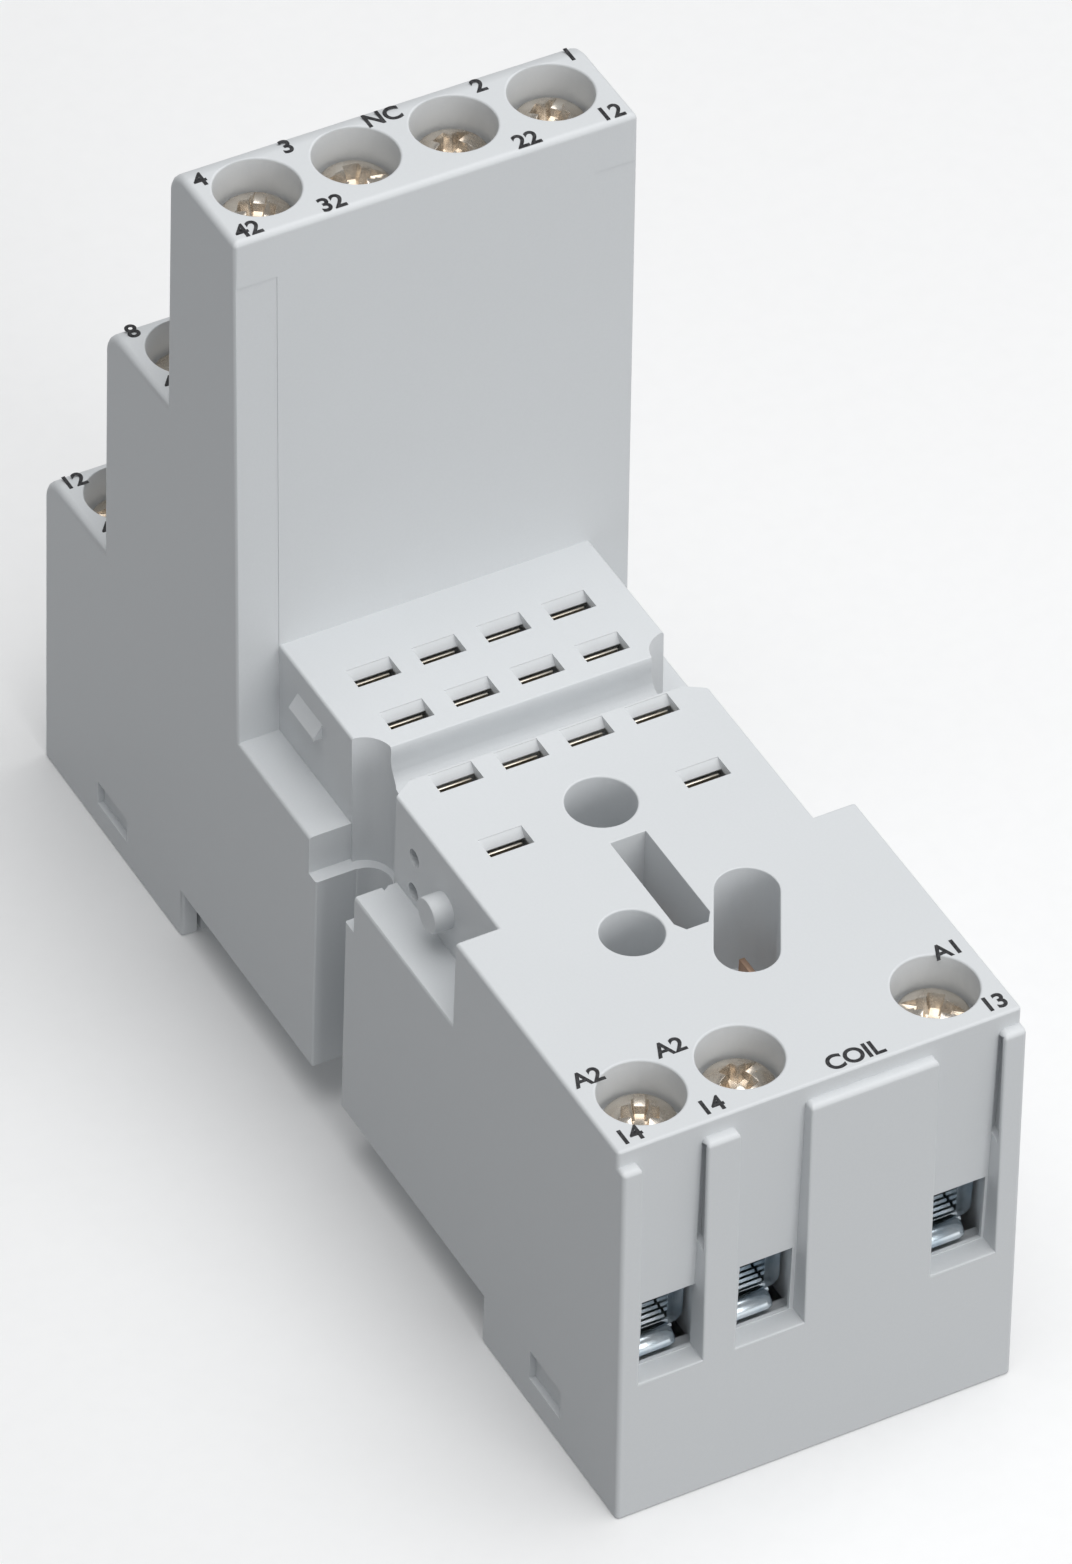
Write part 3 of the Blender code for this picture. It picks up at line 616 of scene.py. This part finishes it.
def edge_radius(edge):
    """The rounding of an edge in millimetres, from where it lies and which way it runs."""
    turn = edge.calc_face_angle_signed(0)
    if turn < math.radians(30):
        return 0.0
    middle = (edge.verts[0].co + edge.verts[1].co) / 2
    run = (edge.verts[1].co - edge.verts[0].co).normalized()
    outer = abs(middle.x) > HALF - 0.01
    if abs(middle.x) > NECK - 2.3 and SEAT_Y - 4.5 < middle.y < SEAT_Y + 2 and middle.z > NOTCH_Z - 1:
        return 0.0
    if outer and abs(run.x) < 0.1 and along_the_steps(middle):
        return 0.45
    if abs(run.z) > 0.9:
        return 0.3 if outer and (middle.y < FACE_Y + 0.1 or middle.y > 48) else 0.14
    if outer and abs(run.y) > 0.9:
        return 0.25
    if middle.z > TOWER_Z - 0.1:
        return 0.4
    if abs(run.x) > 0.9 and abs(middle.y - SEAT_Y) < 0.1 and middle.z > DECK_Z - 0.1:
        return 0.45
    if middle.y < FACE_Y - 0.2:
        return 0.32 if middle.z > PANEL_Z - 0.1 else 0.16
    return 0.2


def weigh_edges(body):
    shape = bmesh.new()
    shape.from_mesh(body.data)
    weight = shape.edges.layers.float.new("bevel_weight_edge")
    radii = {edge: edge_radius(edge) for edge in shape.edges if len(edge.link_faces) == 2}
    for edge, radius in radii.items():
        edge[weight] = radius / WIDEST
    shape.to_mesh(body.data)
    shape.free()
    return sum(radius > 0 for radius in radii.values())


print(weigh_edges(housing), "edges take a rounding")
rounded(housing, WIDEST, finish_index=1)
print("outside:", len(housing.data.polygons), "faces after rounding")

# %% [markdown]
# ## The hollow inside
#
# The wells, windows and slots all look into the hollow where the clamps and contacts live. It is a set
# of boxes, a stepped shaft behind each column of terminals and a small room for every pin. Faking the
# depth with black paint would fail from any other angle, so the real hollow is cut.

# %% Rooms and shafts
COLUMNS = sorted({round(TERMINALS[name].x, 3) for name in TERMINALS})
PIN_PITCH = 4.45
PINS = [PIN_PITCH * (k - 1.5) for k in range(4)]
PIN_ROWS = (34.2, 40.4, 44.6)
COIL_PIN_Y = 27.9
PIN_PLACES = [(x, y) for y in PIN_ROWS for x in PINS] + [(PINS[0], COIL_PIN_Y), (PINS[3], COIL_PIN_Y)]
CHAMBER = 2.6
ROOM = COLUMNS[3] + CHAMBER
WAIST = 8.45
FORK_ROOM = 8.3
SHELF = 3.05  # how deep each well is, down to the shelf that its screw turns on
SHELF_T = 0.7
REAR_ROWS = [(TOWER_Z, 57.5), (MIDDLE_Z, 65.6), (LOW_Z, 73.7)]  # top face and inner face of the wire wall


def rooms():
    coil_pin = 2.0
    return [
        ((-ROOM, FACE_Y + WALL, -1), (ROOM, 33.6, 9.6)),
        ((-ROOM, 11.9, 9.5), (ROOM, 33.6, 18.4)),
        ((-WAIST, 33.5, -1), (WAIST, 40.3, 17.8)),
        ((-ROOM, 40.2, -1), (ROOM, 48.8, 20.7)),
        ((-ROOM, 48.7, -1), (ROOM, LENGTH - WALL + 0.1, 9.6)),
        ((-FORK_ROOM, 31.6, 15.0), (FORK_ROOM, 47.9, 24.0)),
        ((PINS[0] - coil_pin, 26.0, 15.0), (PINS[0] + coil_pin, 31.8, 24.0)),
        ((PINS[3] - coil_pin, 26.0, 15.0), (PINS[3] + coil_pin, 31.8, 24.0)),
    ]


def rear_shafts():
    outline = [(48.6, 9.4), (REAR_ROWS[2][1], 9.4)]
    for (top, wall), following in zip(REAR_ROWS[::-1], [65.6, 57.5, 51.2]):
        outline += [(wall, top - SHELF - SHELF_T), (following, top - SHELF - SHELF_T)]
    outline += [(51.2, 20.7), (48.6, 20.7)]
    shape = bmesh.new()
    for x in COLUMNS:
        prism(shape, outline, x - CHAMBER, x + CHAMBER)
    return shape


def coil_shafts():
    shape = bmesh.new()
    for name in COIL_TERMINALS:
        x = TERMINALS[name].x
        box(shape, (x - CHAMBER, FACE_Y + WALL, 9.4), (x + CHAMBER, 12.0, DECK_Z - SHELF - SHELF_T))
    return shape


def pin_rooms():
    shape = bmesh.new()
    for x, y in PIN_PLACES:
        back = BLOCK_Y - 0.35 if y < BLOCK_Y < y + 1.5 else y + 1.2
        box(shape, (x - 1.7, y - 1.2, 23.5), (x + 1.7, back, DECK_Z - 0.65))
    return shape


inside = [("DIFFERENCE", box(bmesh.new(), low, high)) for low, high in rooms()]
inside += [("DIFFERENCE", cutter()) for cutter in (rear_shafts, coil_shafts, pin_rooms)]
worked(housing, inside)
print("hollow cut:", len(housing.data.polygons), "faces")

# %% [markdown]
# ## Holes with rounded rims
#
# A screwdriver goes down each round well, a wire in at each window and a pin through each slot, whose
# back wall slopes to lead it in. The deck's blind holes take the relay's key and a plug-in module.

# %% Wells, windows and slots
WELL = 2.65
SCREW_PASS = 1.9


def down_from(top):
    return lambda a, b, depth: (a, b, top - depth)


def screw_wells():
    shape = bmesh.new()
    for place in TERMINALS.values():
        flared(shape, arc(place.x, place.y, WELL, 72), SHELF, 0.14, down_from(place.z))
    return shape


def screw_passes():
    shape = bmesh.new()
    for place in TERMINALS.values():
        shelf = place.z - SHELF
        prism(shape, arc(place.x, place.y, SCREW_PASS, 48), shelf - 1.3, shelf + 0.5, "Z")
    return shape


def wire_windows():
    shape = bmesh.new()
    for name in COIL_TERMINALS:
        x = TERMINALS[name].x
        outline = [(x - 1.55, 10.55), (x + 2.0, 10.55), (x + 2.0, 15.65), (x - 1.55, 15.65)]
        prism(shape, outline, FACE_Y - 1, FACE_Y + WALL + 1, "Y")
    half, sill, head = 2.0, 17.85, 13.0
    for top, wall in REAR_ROWS:
        for x in COLUMNS:
            corners = ((-half, sill), (half, sill), (half, head), (-half, head))
            outline = [(x + across, top - down) for across, down in corners]
            flared(shape, outline, WALL + 1, 0.15, lambda a, b, depth, wall=wall: (a, wall + 1.3 - depth, b))
    return shape


def window_reliefs():
    """Inside, the wall round each coil window thins to a quarter of a millimetre."""
    shape = bmesh.new()
    for name in COIL_TERMINALS:
        x = TERMINALS[name].x
        box(shape, (x - 2.3, FACE_Y + 0.25, 10.0), (x + 2.5, FACE_Y + WALL + 0.5, 16.1))
    return shape


def pin_slots():
    """Each slot narrows to the front: its back wall slopes most, its left wall a little."""
    half_x, half_y = 1.46, 0.82
    levels = [(0.16, 0.45, -1.5), (0.16, 0.45, -0.6), (0, 0, -0.05), (-0.05, -0.05, 0.8)]
    shape = bmesh.new()
    for x, y in PIN_PLACES:
        rings = []
        for left, back, rise in levels:
            low, high = (x - half_x + left, y - half_y), (x + half_x, y + half_y - back)
            corners = (low, (high[0], low[1]), high, (low[0], high[1]))
            rings.append([(a, b, DECK_Z + rise) for a, b in corners])
        loft(shape, rings)
    return shape


def module_well():
    ends = arc(0, 2.49, 1.96, 24, 0, math.pi) + arc(0, -2.49, 1.96, 24, math.pi, math.pi)
    turn = Matrix.Rotation(math.radians(-29.4), 2)
    return [tuple(turn @ Vector(point) + Vector((2.78, 15.62))) for point in ends]


def deck_hole(outline, rim):
    return flared(bmesh.new(), outline, DECK_Z - BLIND_Z, rim, down_from(DECK_Z))


BLIND_Z = 20.6  # the floor of the deck's blind holes
KEYED_SLOT = [(-1.25, 25.0), (-1.25, 17.2), (-0.8, 16.5), (0.65, 16.5), (1.15, 17.2), (1.15, 25.0)]
DECK_HOLES = [(arc(0, 28.4, 2.2, 64), 0.12), (arc(-3.8, 17.7, 1.97, 60), 0.12)]
DECK_HOLES += [(KEYED_SLOT, 0.06), (module_well(), 0.08)]


def tongue_slits():
    shape = bmesh.new()
    for node in ("module_contact_1", "module_contact_2"):
        low, high = bench_box(node)
        box(shape, (low.x - 0.3, low.y - 0.3, 17.0), (high.x + 0.3, high.y + 0.3, 21.0))
    return shape


CUTTERS = (screw_wells, screw_passes, wire_windows, window_reliefs, pin_slots, tongue_slits)
holes = [cutter() for cutter in CUTTERS]
holes += [deck_hole(outline, rim) for outline, rim in DECK_HOLES]
worked(housing, [("DIFFERENCE", hole) for hole in holes])
print("holes cut:", len(housing.data.polygons), "faces")

# %% [markdown]
# ## Small mould details
#
# What makes it read as a real moulding is small: the pegs that a retaining clip swings on, the noses
# that it snaps over, pin-sized holes beside the pegs, pockets where the base clips in, narrow
# undercuts beside the ribs, and the faint steps where the mould's inserts meet on the tower.

# %% Pegs, noses, pockets and witness lines
def pegs():
    shape = bmesh.new()
    for side in (-1, 1):
        rings = [(NECK - 0.4, 1.18), (NECK + 1.15, 1.18), (NECK + 1.27, 1.12), (NECK + 1.3, 1.0)]
        loft(shape, [[(side * x, y, z) for y, z in arc(27.9, 24.95, radius, 40)] for x, radius in rings])
    return shape


def clip_noses():
    shape = bmesh.new()
    for side in (-1, 1):
        inner, outer = NECK - 0.3, NECK + 0.6
        outline = [(inner, 26.9), (NECK, 26.9), (outer, 26.0), (outer, 25.8), (inner, 25.8)]
        prism(shape, [(side * x, z) for x, z in outline], 43.6, 46.8, "Y")
    return shape


def side_pockets():
    shape = bmesh.new()
    for side in (-1, 1):
        for z in (25.8, 23.05):
            ring = arc(31.85, z, 0.6, 28)
            loft(shape, [[(side * x, b, c) for b, c in ring] for x in (NECK - 1, NECK + 0.5)])
        for y_low, y_high, z_low, z_high in ((7.1, 10.9, 2.1, 4.4), (63.5, 67.5, 1.9, 3.75)):
            low, high = sorted((side * (HALF - 0.45), side * (HALF + 1)))
            box(shape, (low, y_low, z_low), (high, y_high, z_high))
    return shape


def latch_gate():
    return box(bmesh.new(), (-6.8, LENGTH - WALL - 1, -1), (6.8, LENGTH + 1, 3.3))


def rib_undercuts():
    """Narrow deep grooves in the left walls of the rib and the right flange, behind a thin skin."""
    shape = bmesh.new()
    for x in (-7.85, 12.0):
        outline = [(1.02, 19.0), (FACE_Y + 0.3, 19.4), (FACE_Y + 0.3, 27.1), (1.36, 27.4)]
        prism(shape, outline, x - 0.01, x + 0.4)
    return shape


def witness_steps():
    """A skim of a few hundredths of a millimetre off the tower's two side strips."""
    shape = bmesh.new()
    skim, top = 0.045, 57.0
    outline = [(tower_front(LEDGE_Z) - 1, LEDGE_Z + 0.01), (tower_front(LEDGE_Z) + skim, LEDGE_Z + 0.01)]
    outline += [(tower_front(top) + skim, top), (tower_front(top) - 1, top)]
    for low, high in ((-HALF - 1, -NECK), (NECK, HALF + 1)):
        prism(shape, outline, low, high)
    return shape


details = [("DIFFERENCE", witness_steps()), ("UNION", pegs()), ("UNION", clip_noses())]
details += [("DIFFERENCE", side_pockets()), ("DIFFERENCE", latch_gate()), ("DIFFERENCE", rib_undercuts())]
worked(housing, details)
housing = finished(housing, "housing_moulding", [plastic, plastic_edge])
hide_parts("housing")
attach(housing, "housing")
print("housing:", len(housing.data.polygons), "faces")

# %% [markdown]
# ## Trees that place a repeated piece
#
# Fifteen screws and fifteen clamps are the same piece at different places and turns. Copying a mesh
# would do for that, but a thread follows a helix and a clamp's teeth repeat at a pitch, which is what
# Geometry Nodes are for. Each tree takes its sizes as named inputs, and the result is made a plain
# mesh for each moving body, because the frame and the export read nothing else.

# %% Geometry tree helper
class Tree:
    """A Geometry Nodes tree with named inputs, built a node at a time."""

    def __init__(self, name, inputs):
        self.group = bpy.data.node_groups.new(name, "GeometryNodeTree")
        self.identifiers = {}
        for title, kind in inputs:
            socket = self.group.interface.new_socket(title, in_out="INPUT", socket_type=f"NodeSocket{kind}")
            self.identifiers[title] = socket.identifier
        self.group.interface.new_socket("Geometry", in_out="OUTPUT", socket_type="NodeSocketGeometry")
        self.entry = self.group.nodes.new("NodeGroupInput")
        self.exit = self.group.nodes.new("NodeGroupOutput")

    def given(self, title):
        return self.entry.outputs[title]

    def node(self, kind, settings=None, sockets=None, output=0):
        made = self.group.nodes.new(kind)
        for key, value in (settings or {}).items():
            setattr(made, key, value)
        for key, value in (sockets or {}).items():
            for link in value if isinstance(value, list) else [value]:
                if isinstance(link, bpy.types.NodeSocket):
                    self.group.links.new(link, made.inputs[key])
                else:
                    made.inputs[key].default_value = link
        return made.outputs[output]

    def end(self, geometry, finish):
        """Realizes every instance, gives the finish and closes the tree."""
        plain = self.node("GeometryNodeRealizeInstances", None, {0: geometry})
        dressed = self.node("GeometryNodeSetMaterial", None, {"Geometry": plain, "Material": finish})
        self.group.links.new(dressed, self.exit.inputs[0])

    def grow(self, name, mesh, **values):
        """A plain-mesh object grown from that mesh with these values of the inputs."""
        made = bpy.data.objects.new(name, mesh)
        bpy.context.scene.collection.objects.link(made)
        modifier = made.modifiers.new(self.group.name, "NODES")
        modifier.node_group = self.group
        for title, value in values.items():
            modifier[self.identifiers[title.replace("_", " ")]] = value
        settled(made)
        made.name = made.data.name = name
        return made


print("a tree can now grow a piece")

# %% [markdown]
# ## Terminal screws
#
# Each is an M3 screw with a low dome, cold-headed, nickel-plated, and driven by either a flat blade or
# a crosshead: a slot right across the head with a tapered cross sunk in its middle. The head is turned
# on a lathe profile and engraved with Booleans; the thread is a triangle swept along a helix.

# %% Screw head
HEAD_R, HEAD_RISE = 2.3, 1.33
SHANK_R, SHANK = 1.25, 8.95
UNDERHEAD = 2.75  # how far below a terminal's top face the underside of its screw's head lies


def taper(shape, half_x, half_y, floor, top, spread):
    """A rectangular punch that widens upwards."""
    rings = []
    for z, extra in ((floor, 0.0), (top, spread)):
        x, y = half_x + extra, half_y + extra
        rings.append([(-x, -y, z), (x, -y, z), (x, y, z), (-x, y, z)])
    return loft(shape, rings)


def screw_blank():
    profile = [(0, -SHANK), (SHANK_R - 0.3, -SHANK), (SHANK_R, -SHANK + 0.3), (SHANK_R, 0)]
    profile += [(HEAD_R - 0.06, 0), (HEAD_R, 0.06), (HEAD_R, 0.34), (HEAD_R - 0.08, 0.48)]
    profile += [(HEAD_R - 0.32, 0.7), (1.6, 0.93), (1.2, 1.12), (0.75, 1.26), (0.35, 1.32), (0, HEAD_RISE)]
    head = on_bench("screw_head", lathe(bmesh.new(), profile, 48))
    punches = [taper(bmesh.new(), 2.6, 0.34, 0.62, 2.0, 0.1), taper(bmesh.new(), 0.9, 0.28, 0.1, 2.0, 0.42)]
    punches.append(taper(bmesh.new(), 0.28, 0.9, 0.1, 2.0, 0.42))
    flattened(worked(head, [("DIFFERENCE", punch) for punch in punches]), 1.0)
    return rounded(head, 0.05, 2, weighted=False)


blank = screw_blank()
print("screw blank:", len(blank.data.polygons), "faces")

# %% Screw tree and the fifteen screws
screw_tree = Tree("terminal_screw", [("Geometry", "Geometry"), ("Place", "Vector"), ("Turn", "Float"),
                                     ("Thread Radius", "Float"), ("Pitch", "Float"), ("Length", "Float"),
                                     ("Finish", "Material")])


def build_screw_tree(tree):
    share = {0: tree.given("Length"), 1: tree.given("Pitch")}
    turns = tree.node("ShaderNodeMath", {"operation": "DIVIDE"}, share)
    helix = tree.node("GeometryNodeCurveSpiral", None, {
        "Resolution": 20, "Rotations": turns, "Start Radius": tree.given("Thread Radius"),
        "End Radius": tree.given("Thread Radius"), "Height": tree.given("Length")})
    ridge = tree.node("GeometryNodeCurvePrimitiveCircle", None, {"Resolution": 4, "Radius": 0.2})
    swept = {"Curve": helix, "Profile Curve": ridge, "Fill Caps": True}
    thread = tree.node("GeometryNodeCurveToMesh", None, swept)
    drop = tree.node("ShaderNodeCombineXYZ", None, {"Z": -SHANK + 0.35})
    hung = tree.node("GeometryNodeTransform", None, {"Geometry": thread, "Translation": drop})
    joined = tree.node("GeometryNodeJoinGeometry", None, {"Geometry": [tree.given("Geometry"), hung]})
    turn = tree.node("ShaderNodeCombineXYZ", None, {"Z": tree.given("Turn")})
    placed = tree.node("GeometryNodeTransform", None, {
        "Geometry": joined, "Translation": tree.given("Place"), "Rotation": turn})
    tree.end(placed, tree.given("Finish"))


build_screw_tree(screw_tree)
HEAD_TURNS = {"A2_left": 62, "A2_right": 20, "A1": -38, "42": 55, "32": -12, "22": 24, "12": 40,
              "44": 15, "34": -50, "24": 33, "14": 70, "41": -25, "31": 8, "21": 48, "11": -64}
for name, place in TERMINALS.items():
    screw = screw_tree.grow(
        f"engraved_screw_{name}", blank.data.copy(), Place=place - Vector((0, 0, UNDERHEAD)),
        Turn=math.radians(HEAD_TURNS[name]), Thread_Radius=SHANK_R, Pitch=0.5, Length=SHANK - 0.8,
        Finish=nickel)
    finished(screw, screw.name, [nickel])
    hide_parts(f"screw_{name}")
    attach(screw, f"screw_{name}")
bpy.data.objects.remove(blank)
print(len(TERMINALS), "screws,", len(screw.data.polygons), "faces each")

# %% [markdown]
# ## Rising clamps
#
# Under each screw hangs a box clamp of bent zinc-plated strip. Turning the screw lifts it, and its
# toothed floor presses the wire up against the contact. Its front edge is rolled down so that the wire
# slides in, and in the windows that roll is the brightest thing on the object. The box is lofted from
# a bent outline, and the teeth are one ridge repeated along a line of points.

# %% Clamp sheet
FLOOR = -17.15   # top of the clamp's floor below the terminal's top face
JAW = (-1.5, 1.2)  # how far the rolled front spans beside the screw's axis


def clamp_body():
    """The bent box, open at the front and the back, its rolled lip towards the coil end."""
    left, right, top, bottom, bend = -2.3, 2.3, -10.6, -17.75, 0.7
    outline = [(left, top), (left, bottom + bend)]
    outline += arc(left + bend, bottom + bend, bend, 6, math.pi, math.pi / 2)
    outline += arc(right - bend, bottom + bend, bend, 6, -math.pi / 2, math.pi / 2) + [(right, top)]
    return prism(bmesh.new(), outline, -2.1, 2.1, "Y")


def clamp_room():
    """What is inside the bend; the right wall is jogged in beside the wire."""
    return box(bmesh.new(), (-1.75, -3, FLOOR), (1.25, 3, -11.7))


def clamp_lip():
    """The rolled front: a floor that curves down through a quarter turn, with a rounded right end."""
    radius, under, end = 0.95, FLOOR - 0.9, JAW[1]
    profile = [(-2.0, FLOOR), (-2.0, under), (-3.5, under)]
    profile += arc(-3.58 + radius, FLOOR - radius + 0.2, radius, 12, math.pi, -math.pi / 2)
    shape = bmesh.new()
    rings = []
    for share, x in ((0.0, JAW[0]), (0.0, end - 0.5), (0.25, end - 0.18), (0.65, end - 0.04), (1.0, end)):
        reach, height = 1 - 0.22 * share, 1 - 0.45 * share
        rings.append([(x, -2.0 + (y + 2.0) * reach, under + (z - under) * height) for y, z in profile])
    return loft(shape, rings)


def clamp_blank():
    clamp = on_bench("clamp_blank", clamp_body())
    thread_hole = prism(bmesh.new(), arc(0, 0, 1.55, 32), -13, -9, "Z")
    worked(clamp, [("DIFFERENCE", clamp_room()), ("DIFFERENCE", thread_hole)])
    return rounded(flattened(clamp), 0.1, 2, weighted=False)


jaw = clamp_blank()
lip = on_bench("clamp_lip", clamp_lip())
join = bmesh.new()
join.from_mesh(jaw.data)
join.from_mesh(lip.data)
join.to_mesh(jaw.data)
join.free()
bpy.data.objects.remove(lip)
print("clamp sheet:", len(jaw.data.polygons), "faces")

# %% Clamp tree and the fifteen clamps
clamp_tree = Tree("rising_clamp", [("Geometry", "Geometry"), ("Place", "Vector"), ("Turn", "Float"),
                                   ("Teeth", "Int"), ("Tooth Pitch", "Float"), ("Tooth Height", "Float"),
                                   ("Finish", "Material")])


def build_clamp_tree(tree):
    step = tree.node("ShaderNodeCombineXYZ", None, {"Y": tree.given("Tooth Pitch")})
    first = tree.node("ShaderNodeCombineXYZ", None, {"X": (JAW[0] + JAW[1]) / 2, "Y": -2.75, "Z": FLOOR})
    row = tree.node("GeometryNodeMeshLine", None, {
        "Count": tree.given("Teeth"), "Start Location": first, "Offset": step})
    bar = tree.node("GeometryNodeMeshCylinder", None, {
        "Vertices": 4, "Radius": tree.given("Tooth Height"), "Depth": JAW[1] - JAW[0] - 0.1})
    ridges = tree.node("GeometryNodeInstanceOnPoints", None, {
        "Points": row, "Instance": bar, "Rotation": (0, math.pi / 2, 0)})
    joined = tree.node("GeometryNodeJoinGeometry", None, {"Geometry": [tree.given("Geometry"), ridges]})
    turn = tree.node("ShaderNodeCombineXYZ", None, {"Z": tree.given("Turn")})
    placed = tree.node("GeometryNodeTransform", None, {
        "Geometry": joined, "Translation": tree.given("Place"), "Rotation": turn})
    tree.end(placed, tree.given("Finish"))


build_clamp_tree(clamp_tree)
for name, place in TERMINALS.items():
    clamp = clamp_tree.grow(
        f"toothed_clamp_{name}", jaw.data.copy(), Place=place,
        Turn=0.0 if name in COIL_TERMINALS else math.pi, Teeth=10, Tooth_Pitch=0.42, Tooth_Height=0.13,
        Finish=zinc)
    finished(clamp, clamp.name, [zinc])
    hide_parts(f"clamp_cage_{name}")
    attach(clamp, f"clamp_{name}")
bpy.data.objects.remove(jaw)
print(len(TERMINALS), "clamps,", len(clamp.data.polygons), "faces each")

# %% [markdown]
# ## Base, latch and contacts
#
# These pieces already have their true shape in the frame: pressed and moulded parts with nothing but
# their edges to add. Each is copied, its loose triangles are merged back into faces, and a small bevel
# takes the knife edge off: 0.15 mm on plastic, and a hair's breadth on stamped strip.

# %% Softened copies of frame pieces
def softened(node, name, width, finish, body):
    """A copy of a CAD node with its edges rounded, standing for it in the picture."""
    copy = on_bench(name, bmesh.new())
    copy.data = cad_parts[node].data.copy()
    copy.data.transform(BENCH_TO_FRAME.inverted())
    rounded(flattened(copy), width, 2, weighted=False)
    finished(copy, name, [finish])
    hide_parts(node)
    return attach(copy, body)


softened("base_cover", "base_cover_moulding", 0.15, base_plastic, "housing")
softened("rail_latch", "rail_latch_moulding", 0.18, latch_plastic, "rail_latch")
strips = [node for node in sorted(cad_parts) if node.startswith("contact_")]
for node in strips:
    softened(node, f"pin_{node}", 0.05, bronze, "housing")
for node in ("module_contact_1", "module_contact_2"):
    softened(node, f"tongue_{node}", 0.05, copper, "housing")
print("softened: base, latch,", len(strips), "contacts and 2 tongues")


# %% The springs that grip a relay's blades
LEAF_X, LEAVES = 1.2, ((-0.3, -0.12), (0.12, 0.3))
LEAF_LOW, LEAF_HIGH = 26.9, DECK_Z - 0.75


def blade_springs():
    """Two leaves in each pin slot, standing up from the receptacle below."""
    shape = bmesh.new()
    for x, y in PIN_PLACES:
        for low, high in LEAVES:
            box(shape, (x - LEAF_X, y + low, LEAF_LOW), (x + LEAF_X, y + high, LEAF_HIGH))
    return shape


springs = rounded(on_bench("blade_springs", blade_springs()), 0.05, 2, weighted=False)
finished(springs, "blade_springs", [bronze])
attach(springs, "housing")
print(2 * len(PIN_PLACES), "spring leaves")

# %% [markdown]
# ## Printed numbers
#
# Terminals are numbered in black pad print: the inner numbers count the relay's pins and the outer
# ones name the contact, as on any such socket. Text objects give clean letters of a known height; each
# is made a mesh, laid a few hundredths of a millimetre above its face and moved with the housing.

# %% Numbers beside the terminals
LETTER = 1.65      # text size whose capitals are 1.2 mm tall
PRINT_RISE = 0.012
LEGENDS = [
    ("A2", -12.02, 8.12, DECK_Z), ("A2", -6.56, 8.16, DECK_Z), ("14", -12.15, 2.85, DECK_Z),
    ("14", -6.76, 2.85, DECK_Z), ("COIL", 2.72, 2.75, DECK_Z), ("A1", 12.0, 8.02, DECK_Z),
    ("13", 12.2, 2.9, DECK_Z),
    ("4", -12.55, 56.6, TOWER_Z), ("3", -6.57, 57.04, TOWER_Z), ("NC", -0.21, 56.97, TOWER_Z),
    ("2", 6.24, 56.97, TOWER_Z), ("1", 12.47, 57.11, TOWER_Z), ("42", -12.1, 51.35, TOWER_Z),
    ("32", -6.6, 51.3, TOWER_Z), ("22", 6.4, 51.3, TOWER_Z), ("12", 12.05, 51.3, TOWER_Z),
]
for level, y, back in ((MIDDLE_Z, 65.53, ("8", "7", "6", "5")), (LOW_Z, 73.3, ("12", "11", "10", "9"))):
    for x, text in zip((-12.3, -6.5, 6.3, 12.3), back):
        LEGENDS.append((text, x, y, level))
for level, y, front in ((MIDDLE_Z, 60.3, ("44", "34", "24", "14")), (LOW_Z, 68.4, ("41", "31", "21", "11"))):
    for x, text in zip((-12.0, -6.6, 6.4, 12.0), front):
        LEGENDS.append((text, x, y, level))


def printed(text, x, y, level, count):
    curve = bpy.data.curves.new("print", "FONT")
    curve.body, curve.size = text, LETTER
    curve.align_x, curve.align_y = "CENTER", "CENTER"
    curve.extrude = PRINT_RISE
    curve.offset = 0.042
    made = bpy.data.objects.new("print", curve)
    bpy.context.scene.collection.objects.link(made)
    mesh = bpy.data.meshes.new_from_object(made.evaluated_get(bpy.context.evaluated_depsgraph_get()))
    bpy.data.objects.remove(made)
    mesh.transform(Matrix.Translation((x, y, level + PRINT_RISE * 0.5)))
    body = bpy.data.objects.new("print", mesh)
    bpy.context.scene.collection.objects.link(body)
    return finished(body, f"print_{count:02d}_{text}", [ink])


for count, (text, x, y, level) in enumerate(LEGENDS):
    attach(printed(text, x, y, level, count), "housing")
print(len(LEGENDS), "printed numbers and words")
